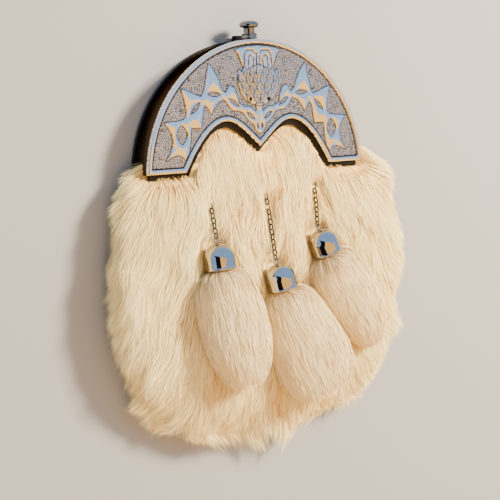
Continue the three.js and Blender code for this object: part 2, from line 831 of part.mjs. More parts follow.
// Locks that hang over the bottom edge.
function alongBottom() {
  const locks = [];
  for (let i = 0; i < bottomLocks.count; i++) {
    const across = (2 * i) / (bottomLocks.count - 1) - 1;
    const root = new THREE.Vector3(
      across * furHalfWidth * bottomLocks.across,
      furBottomY + bottomLocks.above + bottomLocks.arch * across * across,
      furFloor + edgeLockZ,
    );
    const tip = root.clone();
    tip.x += across * bottomLocks.splay;
    tip.y -= bottomLocks.fall + bottomLocks.spread * vary(i + 50);
    tip.z = furFloor + bottomLocks.lift * (1 + vary(i + 60));
    locks.push(lock(root, tip, frontward, bottomLocks));
  }
  return locks;
}

// Locks down the front, in rows that lie across each other's gaps.
function frontLocks() {
  const locks = [];
  frontLockRows.forEach(({ share, count }, r) => {
    for (let i = 0; i < count; i++) {
      const across = ((2 * (i + 0.5)) / count - 1) * frontLock.across;
      const fall = frontLock.fall + frontLock.spread * vary(r * 9 + i);
      const root = furPoint(share, across);
      const tip = furPoint(share + fall, across * frontLock.splay);
      root.z -= frontLock.sunk;
      tip.z += frontLock.proud;
      locks.push(lock(root, tip, frontward, frontLock));
    }
  });
  return locks;
}

// Bells and tassels, in a frame with the bell's loop at the origin and the tassel along -Y

const bellTopY = -bellLoopRadius - wireRadius * 0.5;
const bellRimY = bellTopY - bellHeight;
const bellInner = bellRadius - bellWall;
const headTopY = bellTopY - bellHeight * headHeightInBell;
const headRadiusInBell = bellInner * headWidth;
const tasselTopY = bellRimY - gap;

function tasselFrame(row) {
  const origin = new THREE.Vector3(row.loopX, row.loopY, row.loopZ);
  const down = new THREE.Vector3(row.lean, -row.length, row.rise).normalize();
  const turn = new THREE.Quaternion().setFromUnitVectors(new THREE.Vector3(0, -1, 0), down);
  return new THREE.Matrix4().compose(origin, turn, new THREE.Vector3(1, 1, 1));
}

function ringEye(radius) {
  return new THREE.TorusGeometry(radius, wireRadius, wireSides, linkSides);
}

function bellCap() {
  const lip = bellRadius + bellLip;
  const hollow = bellHollow.map(({ radius, depth }) => [
    bellInner * radius,
    bellTopY - bellWall - (bellHeight - bellWall) * depth,
  ]);
  const outside = bellOutside.map(({ radius, depth }) => [
    bellRadius * radius,
    bellTopY - bellHeight * depth,
  ]);
  const rim = [
    [bellInner, bellRimY],
    [lip, bellRimY],
    [lip, bellRimY + bellWall],
  ];
  const dome = turned([...hollow, ...rim, ...outside], bellSides);
  return solid(dome).add(solid(ringEye(bellLoopRadius)));
}

// Half the fur's width and half its depth at a share of its length.
function tasselHalves(row, along) {
  const half = (row.width / 2) * rowAt(tasselSections, along, "along").size;
  return { wide: half * (1 + row.flare * along * along), deep: half * tasselThickness };
}

// An oval ring of points across a tassel.
function tasselRing(x, y, halfWidth, halfDepth) {
  const ring = [];
  for (let i = 0; i < tasselSides; i++) {
    const angle = (2 * Math.PI * i) / tasselSides;
    const across = x + halfWidth * Math.cos(angle);
    ring.push(new THREE.Vector3(across, y, halfDepth * Math.sin(angle)));
  }
  return ring;
}

// The tassel's rounded form below its bell, grown by the margin.
function tasselForm(row, margin) {
  const length = tasselTopY + row.length;
  const rings = tasselSections.map((section, i) => {
    const { wide, deep } = tasselHalves(row, section.along);
    const halfWidth = Math.max(bellRadius, wide);
    const halfDepth = Math.max(bellInner, deep);
    const last = i === tasselSections.length - 1;
    const y = tasselTopY - length * section.along - (last ? margin : 0);
    const end = last ? section.size : 1;
    const x = row.bend * section.along;
    return tasselRing(x, y, halfWidth * end + margin, halfDepth * end + margin);
  });
  return solid(loft(rings));
}

// A point that lies further out than the fur's rounded form.
function tasselPoint(row, along, angle, out) {
  const { wide, deep } = tasselHalves(row, along);
  const x = row.bend * along + (wide + out) * Math.cos(angle);
  const y = tasselTopY - (tasselTopY + row.length) * along;
  return new THREE.Vector3(x, y, (deep + out * tasselThickness) * Math.sin(angle));
}

function tasselSolid(row, index) {
  const inBell = solid(loft([
    tasselRing(0, headTopY, headRadiusInBell * headWidth, headRadiusInBell * headWidth),
    tasselRing(0, headTopY - bellWall, headRadiusInBell, headRadiusInBell),
    tasselRing(0, tasselTopY - embed, headRadiusInBell, headRadiusInBell),
  ]));
  const locks = [];
  tasselLockRows.forEach(({ along, count, turn }, r) => {
    for (let i = 0; i < count; i++) {
      const angle = (2 * Math.PI * (i + turn)) / count;
      const fall = tasselLock.fall + tasselLock.spread * vary(index * 31 + r * 7 + i);
      const reach = Math.min(1, along + fall);
      const root = tasselPoint(row, along, angle, -tasselLock.sunk);
      const tip = tasselPoint(row, reach, angle, tasselLock.proud);
      const out = new THREE.Vector3(Math.cos(angle), 0, Math.sin(angle) * tasselThickness);
      locks.push(lock(root, tip, out.normalize(), tasselLock));
    }
  });
  return join([tasselForm(row, 0), inBell, ...locks]);
}

// The space that a bell and its tassel take up in the fur.
function tasselBed(row) {
  const radius = bellRadius + bellLip + bed;
  const dome = turned([
    [0, bellTopY + bed],
    ...bellOutside.toReversed().slice(1).map(({ radius: share, depth }) => [
      radius * share,
      bellTopY + bed - bellHeight * depth,
    ]),
    [radius, bellRimY - bed],
    [0, bellRimY - bed],
  ], bellSides);
  const whole = join([solid(dome), tasselForm(row, bed + lockRelief)]);
  return solid(geometryOf(whole).applyMatrix4(tasselFrame(row)));
}

// Chains

// Where the outermost link's end lies inside an eye, measured from the middle of the eye's wire.
const hookIn = 2 * wireRadius + 1.5 * gap;

// The line of a chain crosses the eye's wire and the wire of the bell's loop, and ends past both.
function chainPath(row) {
  const eyeWire = new THREE.Vector3(row.eyeX, row.eyeY - eyeRadius, row.eyeZ);
  const loopWire = new THREE.Vector3(0, bellLoopRadius, 0).applyMatrix4(tasselFrame(row));
  const middle = eyeWire.clone().lerp(loopWire, 0.5);
  middle.z += chainBow;
  const backAlong = eyeWire.clone().sub(middle).setLength(hookIn);
  const onAlong = loopWire.clone().sub(middle).setLength(hookIn);
  return new THREE.QuadraticBezierCurve3(eyeWire.add(backAlong), middle, loopWire.add(onAlong));
}

// One oval link round the middle of its own frame, long along Y.
function linkGeometry(halfLength) {
  const geometry = new THREE.TorusGeometry(linkHalfWidth, wireRadius, wireSides, linkSides);
  const stretch = halfLength - linkHalfWidth * Math.cos(Math.PI / linkSides);
  const position = geometry.attributes.position;
  for (let i = 0; i < position.count; i++) {
    const y = position.getY(i);
    if (Math.abs(y) > wireRadius) position.setY(i, y + Math.sign(y) * stretch);
  }
  return geometry;
}

// Links in turn upright and flat, an odd number, so that the first and the last cross their eyes.
function chainSolid(row) {
  const path = chainPath(row);
  const overlap = 2 * wireRadius * linkHold;
  const length = path.getLength();
  const count = 2 * Math.round((length / linkPitch - 1) / 2) + 1;
  const pitch = (length - overlap) / count;
  const halfLength = (pitch + overlap) / 2;
  const links = [];
  for (let i = 0; i < count; i++) {
    const share = (overlap / 2 + (i + 0.5) * pitch) / length;
    const tangent = path.getTangentAt(share);
    const turn = new THREE.Quaternion().setFromUnitVectors(new THREE.Vector3(0, -1, 0), tangent);
    const middle = path.getPointAt(share);
    const geometry = linkGeometry(halfLength);
    if (i % 2 === 0) geometry.rotateY(Math.PI / 2);
    geometry.applyQuaternion(turn);
    geometry.translate(middle.x, middle.y, middle.z);
    links.push(solid(geometry));
  }
  return join(links);
}

// The eye that a chain hangs from, on a post that stands on the leather under the fur.
function anchorPost(row, radius, top) {
  const post = new THREE.CylinderGeometry(radius, radius, top - pouchZ, 8);
  post.rotateX(Math.PI / 2);
  return solid(post.translate(row.eyeX, row.eyeY + eyeRadius, (top + pouchZ) / 2));
}

function anchorSolid(row) {
  const eye = ringEye(eyeRadius).translate(row.eyeX, row.eyeY, row.eyeZ);
  const post = anchorPost(row, postRadius, row.eyeZ + wireRadius);
  return solid(eye).add(post).subtract(pouchForm(gap, backZ));
}

// The space that a chain and its eye take up in the fur.
function chainBed(row) {
  const path = chainPath(row);
  const radius = linkHalfWidth + wireRadius + bed;
  const start = path.getPoint(0).add(new THREE.Vector3(0, 2 * eyeRadius + bed, 0));
  const line = new THREE.CatmullRomCurve3([start, ...[0, 0.5, 1].map((t) => path.getPoint(t))]);
  const section = new THREE.Shape();
  section.absarc(0, 0, radius, 0, 2 * Math.PI, false);
  const sweep = { steps: 6, curveSegments: 4, extrudePath: line };
  const tube = new THREE.ExtrudeGeometry(section, sweep);
  return solid(tube).add(anchorPost(row, postRadius + gap, row.eyeZ));
}

// The fur, hollow round the pouch and clear of all that lies in it
function furFront() {
  const span = furTopY - furBottomY;
  const rings = furSections.map((row) => domeRing(
    furTopY - span * row.y,
    furHalfWidth * row.width,
    furFloor,
    furFloor + (furCrownZ - furFloor) * row.height * furSide,
    furFloor + (furCrownZ - furFloor) * row.height,
    furSquareness,
    furSteps,
    furTuck,
  ));
  const whole = join([solid(loft(rings)), ...alongSides(), ...alongBottom(), ...frontLocks()]);
  // These tools' arcs have fewer sides than the cantle's, so they run outside its circle.
  const toolSides = arcSides / 2;
  const clearRadius = (cantleRadius + gap) / Math.cos(Math.PI / 2 / toolSides);
  const legs = cantleShape(clearRadius, gap, toolSides, 3);
  const panel = cantleShape(clearRadius, backingOverhang + gap, toolSides, 4);
  const cuts = [
    pouchForm(gap, -overcut),
    slab(backShape(gap), -overcut, pouchZ, 8),
    slab(legs, -overcut, plateZ),
    slab(panel, backingZ - gap, aboveAll),
    ...tassels.map(tasselBed),
    ...tassels.map(chainBed),
  ];
  const grown = whole.intersect(layer(furFloor, aboveAll));
  const cut = cuts.reduce((rest, tool) => rest.subtract(tool), grown);
  return cut.decompose().reduce((most, next) => (next.volume() > most.volume() ? next : most));
}

const assembly = new THREE.Group();

function add(name, shape, look) {
  const geometry = shape.isBufferGeometry ? shape : geometryOf(shape);
  const mesh = new THREE.Mesh(geometry, new THREE.MeshStandardMaterial(look));
  mesh.name = name;
  assembly.add(mesh);
}

add("cantle_plate", cantlePlate(), metal);
add("cantle_band", cantleBand(), metal);
add("cantle_backing", cantleBacking(), leather);
add("button_collar", buttonCollar(), brightMetal);
add("push_button", pushButton(), brightMetal);
add("pouch_back", pouchBack(), leather);
add("pouch_gusset", pouchGusset(), leather);
add("pouch_front", pouchFront(), leather);
add("belt_loop_left", beltLoop(-1), leather);
add("belt_loop_right", beltLoop(1), leather);
add("fur_front", furFront(), bodyFur);
tassels.forEach((row, index) => {
  add("chain_" + row.name, chainSolid(row), metal);
  add("anchor_" + row.name, anchorSolid(row), metal);
  const frame = tasselFrame(row);
  add("bell_" + row.name, geometryOf(bellCap()).applyMatrix4(frame), brightMetal);
  add("tassel_" + row.name, geometryOf(tasselSolid(row, index)).applyMatrix4(frame), tasselFur);
});

// The part's origin is the middle of its box, on the plane that it rests on.
const bounds = new THREE.Box3().setFromObject(assembly);
const middle = bounds.getCenter(new THREE.Vector3());
assembly.position.set(-middle.x, -middle.y, -bounds.min.z);

const sporran = new THREE.Group();
sporran.add(assembly);

export default sporran;
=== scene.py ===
# %% [markdown]
# # A full dress sporran in Blender
# A sporran is the pouch worn in front of a kilt. The full dress kind has a metal cantle, which is
# the arched mount on top, a leather pocket under deep fur, and three fur tassels on chains.
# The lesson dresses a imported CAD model: hard pieces keep its sizes, and the fur takes the place of
# the plain solids that stand for it. Lengths are in millimetres until a mesh is made.

import math

import bmesh
import bpy
import numpy as np
from mathutils import Matrix, Vector
from mathutils.kdtree import KDTree


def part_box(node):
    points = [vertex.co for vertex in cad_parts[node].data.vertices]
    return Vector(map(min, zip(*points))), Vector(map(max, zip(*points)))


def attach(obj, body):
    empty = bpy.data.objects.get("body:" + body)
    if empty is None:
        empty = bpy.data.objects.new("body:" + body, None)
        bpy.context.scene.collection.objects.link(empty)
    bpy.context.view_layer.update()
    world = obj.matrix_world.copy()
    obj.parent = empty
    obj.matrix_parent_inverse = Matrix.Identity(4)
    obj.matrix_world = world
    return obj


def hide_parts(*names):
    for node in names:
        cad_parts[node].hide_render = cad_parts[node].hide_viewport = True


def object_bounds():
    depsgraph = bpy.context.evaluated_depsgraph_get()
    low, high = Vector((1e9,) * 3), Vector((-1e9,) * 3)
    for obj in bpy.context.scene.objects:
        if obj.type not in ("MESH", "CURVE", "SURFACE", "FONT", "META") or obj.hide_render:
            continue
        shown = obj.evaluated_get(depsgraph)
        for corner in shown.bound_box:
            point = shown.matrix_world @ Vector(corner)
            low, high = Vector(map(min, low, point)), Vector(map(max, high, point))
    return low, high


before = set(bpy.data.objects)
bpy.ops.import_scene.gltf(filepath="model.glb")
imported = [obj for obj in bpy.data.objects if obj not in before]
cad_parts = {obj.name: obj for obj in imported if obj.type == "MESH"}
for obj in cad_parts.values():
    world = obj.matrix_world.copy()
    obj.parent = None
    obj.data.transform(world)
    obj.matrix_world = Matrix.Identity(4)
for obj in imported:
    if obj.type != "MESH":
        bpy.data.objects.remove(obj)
cad_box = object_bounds()
MM = 0.001
for axis, low, high in zip("xyz", *cad_box):
    print(f"model along {axis}: {low / MM:.1f} to {high / MM:.1f} mm")

# %% [markdown]
# ## Where things are
# The cantle's arc has its centre on the middle line. Measured from there, x runs to the viewer's
# right and y up towards the clasp button, while z starts at the floor on which the back rests.
# The arc's radius is known, so the plate's box in the model gives the height of the centre.

# %% Centre of the arc and front of the plate
ARC = 75.0
PLATE = 1.5
plate_low, plate_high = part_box("cantle_plate")
RISE = plate_high.y / MM - ARC
FRONT = plate_low.z / MM + PLATE
print(f"arc centre at y = {RISE:.2f} mm, plate front at z = {FRONT:.2f} mm")


def placed(points):
    """Points measured from the arc's centre, as points of the model in metres."""
    return (np.asarray(points, float) + (0, RISE, 0)) * MM


def smooth(t):
    """An S-shaped step from 0 to 1."""
    t = np.clip(t, 0, 1)
    return t * t * (3 - 2 * t)


# %% [markdown]
# ## Tools for meshes
# Operators work on what is selected, and the import leaves its objects selected. So each new piece
# starts from an empty selection. A few helpers keep that in one place: one adds a mesh from lists
# of points and faces, one finishes a piece, and one joins copies.


# %% Selection and finishing
def only(*objects):
    """Selects these objects alone, and makes the first one active."""
    bpy.ops.object.select_all(action="DESELECT")
    for o in objects:
        o.select_set(True)
    bpy.context.view_layer.objects.active = objects[0]


def edit(o):
    only(o)
    bpy.ops.object.mode_set(mode="EDIT")
    bpy.ops.mesh.select_all(action="SELECT")


def done():
    bpy.ops.object.mode_set(mode="OBJECT")


def modify(o, kind, **values):
    """Adds a modifier with these values and applies it."""
    only(o)
    made = o.modifiers.new(kind.title(), kind)
    for key, value in values.items():
        setattr(made, key, value)
    bpy.ops.object.modifier_apply(modifier=made.name)


def soften(o, degrees):
    """Smooth shading, but for edges sharper than this."""
    only(o)
    bpy.ops.object.shade_smooth_by_angle(angle=math.radians(degrees))


def finish(o, name, look, slot, *nodes, body="body"):
    """Names a piece, paints it, and ties it to the model in place of the plain nodes."""
    o.name = o.data.name = name
    o.data.materials.clear()
    o.data.materials.append(look)
    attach(o, body)
    if nodes:
        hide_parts(*nodes)
    faces = sum(len(p.vertices) - 2 for p in o.data.polygons)
    print(f"{name}: {faces} triangles")
    return o


def linked(o):
    """Puts a new object into the scene."""
    bpy.context.scene.collection.objects.link(o)
    return o


def twin(o):
    """A copy of an object with a mesh of its own."""
    made = linked(o.copy())
    made.data = o.data.copy()
    return made


def join(objects):
    only(*objects)
    if len(objects) > 1:
        bpy.ops.object.join()
    return bpy.context.view_layer.objects.active


def mesh_of(name, points, corners, sizes):
    """An object from points in metres, the corner numbers of all faces, and each face's size."""
    mesh = bpy.data.meshes.new(name)
    mesh.vertices.add(len(points))
    mesh.vertices.foreach_set("co", np.asarray(points, np.float32).ravel())
    mesh.loops.add(len(corners))
    mesh.loops.foreach_set("vertex_index", np.asarray(corners, np.int32))
    mesh.polygons.add(len(sizes))
    starts = np.concatenate([[0], np.cumsum(sizes)[:-1]])
    mesh.polygons.foreach_set("loop_start", starts.astype(np.int32))
    mesh.update(calc_edges=True)
    return linked(bpy.data.objects.new(name, mesh))


def attribute(o, name, values):
    layer = o.data.attributes.new(name, "FLOAT", "POINT")
    layer.data.foreach_set("value", np.asarray(values, np.float32))


# %% [markdown]
# ## Finishes
# Each finish is a Principled shader fed by a few node groups. A group gives only colours, masks and
# heights, and the shader stays in the material, so that the finish can be exported.
# The first group makes soft blotches of tone, as handling and age leave on metal and hide. The
# second makes the fine pebbled grain of leather. The third turns a strand's place between root and
# tip, and its own tone, into the colour of a hair. Towards the root that colour is darker and
# warmer:
# partly the hair's own colour and partly painted shade, as falls deep in the fur.


# %% Node helpers
def group(name, inputs, outputs):
    """A shader node group with these sockets, given as (name, kind, value)."""
    made = bpy.data.node_groups.new(name, "ShaderNodeTree")
    for label, kind, value in inputs:
        socket = made.interface.new_socket(label, in_out="INPUT", socket_type=kind)
        socket.default_value = value
    for label, kind in outputs:
        made.interface.new_socket(label, in_out="OUTPUT", socket_type=kind)
    return made, made.nodes.new("NodeGroupInput"), made.nodes.new("NodeGroupOutput")


def node(tree, kind, inputs=None, **values):
    """A node with its settings, and its inputs given as numbers, colours or sockets."""
    made = tree.nodes.new("ShaderNode" + kind)
    for key, value in values.items():
        setattr(made, key, value)
    for key, value in (inputs or {}).items():
        if isinstance(value, bpy.types.NodeSocket):
            tree.links.new(value, made.inputs[key])
        else:
            made.inputs[key].default_value = value
    return made


def ramp(tree, factor, stops):
    """A colour ramp through (place, colour) stops."""
    made = node(tree, "ValToRGB", {"Fac": factor})
    band = made.color_ramp
    while len(band.elements) < len(stops):
        band.elements.new(0.5)
    for element, (place, colour) in zip(band.elements, stops):
        element.position = place
        element.color = (*colour, 1)
    return made.outputs["Color"]


def mix(tree, factor, a, b, kind="MIX"):
    """A colour between two, each given as red, green and blue or as a socket."""
    made = node(tree, "Mix", data_type="RGBA", blend_type=kind)
    for key, value in ((0, factor), (6, a), (7, b)):
        if isinstance(value, bpy.types.NodeSocket):
            tree.links.new(value, made.inputs[key])
        else:
            made.inputs[key].default_value = value if key == 0 else (*value, 1)
    return made.outputs[2]


def feed(tree, target, **sources):
    """Links sockets to a node's inputs, named with underscores for spaces."""
    for key, source in sources.items():
        tree.links.new(source, target.inputs[key.replace("_", " ")])


def material(name, **values):
    """A material with a Principled shader, whose plain values are set on its own sockets."""
    made = bpy.data.materials.new(name)
    made.use_nodes = True
    shader = made.node_tree.nodes["Principled BSDF"]
    for key, value in values.items():
        shader.inputs[key.replace("_", " ")].default_value = value
    return made, made.node_tree, shader


def bump(tree, shader, height, depth, strength):
    """Feeds a height in metres to the shader's normal."""
    made = node(tree, "Bump", {"Height": height, "Distance": depth * MM, "Strength": strength})
    feed(tree, shader, Normal=made.outputs["Normal"])


def place(tree):
    """Where a point lies on its object."""
    return node(tree, "TexCoord").outputs["Object"]


# %% Soft blotches of tone
blotches, blotch_in, blotch_out = group(
    "Blotches of tone",
    [("Vector", "NodeSocketVector", (0, 0, 0)), ("Scale", "NodeSocketFloat", 60.0)],
    [("Mask", "NodeSocketFloat"), ("Speckle", "NodeSocketFloat")],
)
wide = node(
    blotches,
    "TexNoise",
    {"Vector": blotch_in.outputs["Vector"], "Scale": blotch_in.outputs["Scale"], "Detail": 4.0},
)
finer = node(blotches, "Math", {0: blotch_in.outputs["Scale"], 1: 9.0}, operation="MULTIPLY")
speck = node(
    blotches,
    "TexNoise",
    {"Vector": blotch_in.outputs["Vector"], "Scale": finer.outputs[0], "Detail": 2.0},
)
feed(blotches, blotch_out, Mask=wide.outputs["Fac"], Speckle=speck.outputs["Fac"])

# %% Pebbled grain of leather
grain, grain_in, grain_out = group(
    "Leather grain",
    [("Vector", "NodeSocketVector", (0, 0, 0)), ("Scale", "NodeSocketFloat", 1400.0)],
    [("Height", "NodeSocketFloat"), ("Crease", "NodeSocketFloat")],
)
cells = node(
    grain,
    "TexVoronoi",
    {"Vector": grain_in.outputs["Vector"], "Scale": grain_in.outputs["Scale"], "Randomness": 0.9},
    feature="DISTANCE_TO_EDGE",
)
lifted = node(grain, "MapRange", {"Value": cells.outputs["Distance"], "From Max": 0.35})
creased = node(
    grain,
    "MapRange",
    {"Value": cells.outputs["Distance"], "From Max": 0.12, "To Min": 1.0, "To Max": 0.0},
)
feed(grain, grain_out, Height=lifted.outputs["Result"], Crease=creased.outputs["Result"])

# %% Colour of a hair
hair, hair_in, hair_out = group(
    "Hair colour",
    [
        ("Root", "NodeSocketColor", (0.5, 0.35, 0.2, 1)),
        ("Middle", "NodeSocketColor", (0.8, 0.65, 0.45, 1)),
        ("Tip", "NodeSocketColor", (0.9, 0.8, 0.65, 1)),
    ],
    [("Color", "NodeSocketColor")],
)
reach = node(hair, "Attribute", attribute_name="reach").outputs["Fac"]
tone = node(hair, "Attribute", attribute_name="tone").outputs["Fac"]
# Towards the root the colour is darker and warmer: partly the hair's own colour, partly painted
# shade deep in the fur.
low_part = node(hair, "MapRange", {"Value": reach, "From Max": 0.45})
high_part = node(hair, "MapRange", {"Value": reach, "From Min": 0.35, "From Max": 0.95})
lower = mix(hair, low_part.outputs["Result"], hair_in.outputs["Root"], hair_in.outputs["Middle"])
upper = mix(hair, high_part.outputs["Result"], lower, hair_in.outputs["Tip"])
shade = ramp(hair, tone, [(0.0, (0.86, 0.7, 0.5)), (0.5, (0.98, 0.95, 0.91)), (1.0, (1, 1, 1))])
feed(hair, hair_out, Color=mix(hair, 1.0, upper, shade, "MULTIPLY"))


# %% [markdown]
# Metal is a Principled shader with full metallic. What makes it read as polished or worn is its
# roughness, so the blotches move that a little. The plate is cast; its hollows, the gaps between its
# pebbles and thin lines round its raised shapes are painted near black and rougher, as painted
# shade, so its mask comes from the geometry.
# The band is painted a near black brown, as painted shade and a painted reflection of shaded
# surroundings, and a low specular tint keeps it dark at flat angles too.


# %% Metals
def blotched(tree, **inputs):
    """The blotches of tone, as they lie on this object."""
    return node(tree, "Group", {"Vector": place(tree), **inputs}, node_tree=blotches)


def metal(name, colour, roughness, wear, scratch, **more):
    """A metal whose worn places are rougher by this much, with scratches this deep in mm."""
    made, tree, shader = material(name, Metallic=1.0, Roughness=roughness, **more)
    tone_of = blotched(tree)
    dark = tuple(c * 0.8 for c in colour)
    rough = node(
        tree,
        "MapRange",
        {
            "Value": tone_of.outputs["Speckle"],
            "From Min": 0.35,
            "From Max": 0.7,
            "To Min": roughness,
            "To Max": roughness + wear,
        },
    )
    tint = mix(tree, tone_of.outputs["Mask"], colour, dark)
    feed(tree, shader, Base_Color=tint, Roughness=rough.outputs["Result"])
    bump(tree, shader, tone_of.outputs["Speckle"], scratch, 0.4)
    return made


chrome = metal("Chrome", (0.46, 0.45, 0.44), 0.03, 0.03, 0.003)
dark_nickel = metal("Dark nickel", (0.26, 0.24, 0.22), 0.08, 0.06, 0.006)
# Painted shade and painted reflection: the band's near black brown stands for its shaded side and
# the shaded surroundings it mirrors, and its dark specular tint keeps it so at flat angles.
band_shade = (0.06, 0.045, 0.034)
shaded_band_metal = metal("Band metal with painted shade", band_shade, 0.22, 0.1, 0.01, Specular_Tint=(0.2, 0.16, 0.12, 1))
gunmetal = metal("Gunmetal", (0.09, 0.085, 0.082), 0.18, 0.1, 0.01)

cast, cast_tree, cast_shader = material("Cast metal with painted shade", Metallic=1.0)
hollow = node(cast_tree, "Attribute", attribute_name="hollow").outputs["Fac"]
patina = blotched(cast_tree, Scale=90.0)
bright = mix(cast_tree, patina.outputs["Mask"], (0.88, 0.87, 0.84), (0.72, 0.7, 0.66))
# Past this level of the hollow mask the colour is painted near black: painted shade in the hollows.
SHADE_FROM = 0.16
painted_shade = node(cast_tree, "MapRange", {"Value": hollow, "From Min": SHADE_FROM}).outputs["Result"]
cast_colour = mix(cast_tree, painted_shade, bright, (0.02, 0.015, 0.012))
cast_rough = node(
    cast_tree, "MapRange", {"Value": hollow, "From Max": SHADE_FROM, "To Min": 0.1, "To Max": 0.42}
)
feed(cast_tree, cast_shader, Base_Color=cast_colour, Roughness=cast_rough.outputs["Result"])
bump(cast_tree, cast_shader, patina.outputs["Speckle"], 0.02, 0.5)

# %% [markdown]
# The leather is black and smooth, with a grain of about two thirds of a millimetre. Its creases
# stay a little duller, and rubbed places a little greyer.

# %% Black leather
leather, leather_tree, leather_shader = material("Black leather", Specular_IOR_Level=0.18)
hide_grain = node(leather_tree, "Group", {"Vector": place(leather_tree)}, node_tree=grain)
rubbed = blotched(leather_tree, Scale=45.0)
hide_colour = ramp(
    leather_tree,
    rubbed.outputs["Mask"],
    [(0.35, (0.002, 0.002, 0.002)), (0.75, (0.008, 0.007, 0.006))],
)
hide_rough = node(
    leather_tree, "MapRange", {"Value": hide_grain.outputs["Crease"], "To Min": 0.3, "To Max": 0.6}
)
feed(
    leather_tree, leather_shader, Base_Color=hide_colour, Roughness=hide_rough.outputs["Result"]
)
bump(leather_tree, leather_shader, hide_grain.outputs["Height"], 0.08, 0.6)


# %% Fur
def fur(name, root, middle, tip):
    made, tree, shader = material(
        name, Roughness=0.62, Sheen_Weight=0.25, Sheen_Roughness=0.4, Specular_IOR_Level=0.25
    )
    colours = {"Root": (*root, 1), "Middle": (*middle, 1), "Tip": (*tip, 1)}
    colour = node(tree, "Group", colours, node_tree=hair)
    feed(tree, shader, Base_Color=colour.outputs["Color"])
    return made


# The root colours are darker and warmer: partly the fur's own colour, partly painted shade.
body_fur = fur("Cream fur", (0.74, 0.43, 0.11), (0.96, 0.75, 0.3), (0.98, 0.87, 0.46))
tassel_fur = fur("Pale tassel fur", (0.52, 0.32, 0.12), (0.84, 0.64, 0.31), (0.95, 0.81, 0.47))

# %% [markdown]
# ## The cantle plate
# The plate is one casting: a raised rim, a pebbled ground, two scrolls of ridged thistle leaves and
# a thistle in the middle. Low relief over a flat plate can be carved, or pushed out of a fine grid.
# A grid is used here, because every height is then a rule about the distance from an outline:
# a step at the edge, and a slow rise to the ridge in the middle of a leaf.
# The outlines are drawn once for the left half, and mirrored.

# %% Outlines of the plate and its relief
LEG = 4.0  # height of the legs' feet over the arc's centre
LEG_INSIDE = 50.4  # from the middle line to a leg's inner corner
ARCH_TOP = (22.5, 30.4)
VEE = 15.9  # height of the point between the two arches
RIM = 2.5


def bezier(a, b, c, d, steps):
    t = np.linspace(0, 1, steps + 1)[:, None]
    a, b, c, d = (np.array(p, float) for p in (a, b, c, d))
    return (1 - t) ** 3 * a + 3 * (1 - t) ** 2 * t * b + 3 * (1 - t) * t**2 * c + t**3 * d


def plate_outline():
    start = math.asin(LEG / ARC)
    turn = np.linspace(start, math.pi - start, 181)
    arc = np.stack([ARC * np.cos(turn), ARC * np.sin(turn)], 1)
    foot = (LEG_INSIDE, LEG)
    half_up = (LEG_INSIDE - 7.4, LEG + (ARCH_TOP[1] - LEG) / 2)
    leg = bezier(foot, half_up, (ARCH_TOP[0] + 10.6, ARCH_TOP[1]), ARCH_TOP, 24)
    vee = bezier(ARCH_TOP, (15.1, ARCH_TOP[1]), (9, VEE + 7.5), (0, VEE), 18)
    right = np.concatenate([leg, vee[1:]])
    return np.concatenate([arc, right * (-1, 1), right[::-1][1:]])


scroll = [
    (0.5, 23.2), (-1.1, 23.4), (-3.4, 25.3), (-4.2, 28.2), (-6.3, 29.5), (-9.5, 32.6),
    (-11.1, 34.7), (-13.7, 35.8), (-18.4, 36.3), (-21.1, 38.9), (-22.9, 41.6), (-24.2, 42.4),
    (-27.4, 41.3),
    (-30.5, 37.9), (-32.8, 34.7), (-34.7, 37.9), (-36.6, 39.7), (-37.9, 37.9), (-38.7, 32.6),
    (-39.5, 27.5), (-46.3, 27.6), (-46.6, 24.7), (-47.1, 19.5), (-48.4, 14.2), (-50.9, 10.9),
    (-52.6, 12.9), (-55.8, 13.8), (-60.0, 12.6), (-63.1, 10.9), (-60.5, 14.2), (-58.9, 17.9),
    (-58.4, 21.0), (-58.9, 24.7), (-61.0, 28.4), (-63.3, 31.0), (-56.3, 31.3), (-51.0, 32.1),
    (-49.5, 33.7), (-49.2, 35.3), (-49.7, 40.0), (-51.0, 45.3), (-51.8, 48.4), (-48.4, 47.4),
    (-43.2, 45.3), (-39.2, 43.9), (-37.4, 46.8), (-36.1, 51.6), (-35.0, 56.3), (-33.5, 61.8),
    (-29.5, 56.8), (-26.8, 51.6), (-25.3, 47.4), (-22.8, 45.6), (-20.0, 49.7), (-16.8, 48.4),
    (-14.7, 43.7), (-14.2, 40.0), (-10.0, 37.9), (-6.3, 37.9), (-2.5, 35.0), (-1.9, 36.2),
    (-2.6, 39.5), (0.5, 39.5),
]
# Eyes pierced in the scroll: two ends and a width.
eyes = [
    ((-26.0, 45.0), (-35.0, 45.4), 3.0),
    ((-39.8, 41.3), (-46.5, 34.6), 2.7),
    ((-52.4, 29.6), (-52.4, 18.6), 6.9),
    ((-20.9, 43.0), (-13.7, 38.2), 2.3),
    ((-8.9, 35.1), (-3.1, 31.0), 2.3),
    ((-1.5, 29.2), (-1.4, 25.2), 1.1),
]
bulb = [
    (0, 38.4), (5.5, 39.6), (9.6, 42.2), (12.6, 46), (14, 50.5), (14.2, 55.5), (13.2, 58.4),
    (11.4, 56.6), (9.8, 59.6), (8.2, 57.8), (0, 61),
]
fan = [
    (0, 56), (8.2, 57.2), (9.6, 58.6), (15.3, 69.0), (12.6, 69.9), (6.5, 70.9), (0, 71.2),
]


# %% [markdown]
# Distances come from plain plane geometry. For each point of the grid, the nearest place on each
# edge of an outline gives the distance, and counting the edges to one side says whether the point
# is inside.


# %% Distance rules
def to_line(points, line, closed=False):
    """Distance of each point from a line through corners."""
    corners = np.asarray(line, float)
    ends = np.roll(corners, -1, 0) if closed else corners[1:]
    best = np.full(len(points), 1e9)
    for a, b in zip(corners, ends):
        along = b - a
        t = np.clip(((points - a) @ along) / max(along @ along, 1e-12), 0, 1)
        best = np.minimum(best, np.hypot(*(points - a - t[:, None] * along).T))
    return best


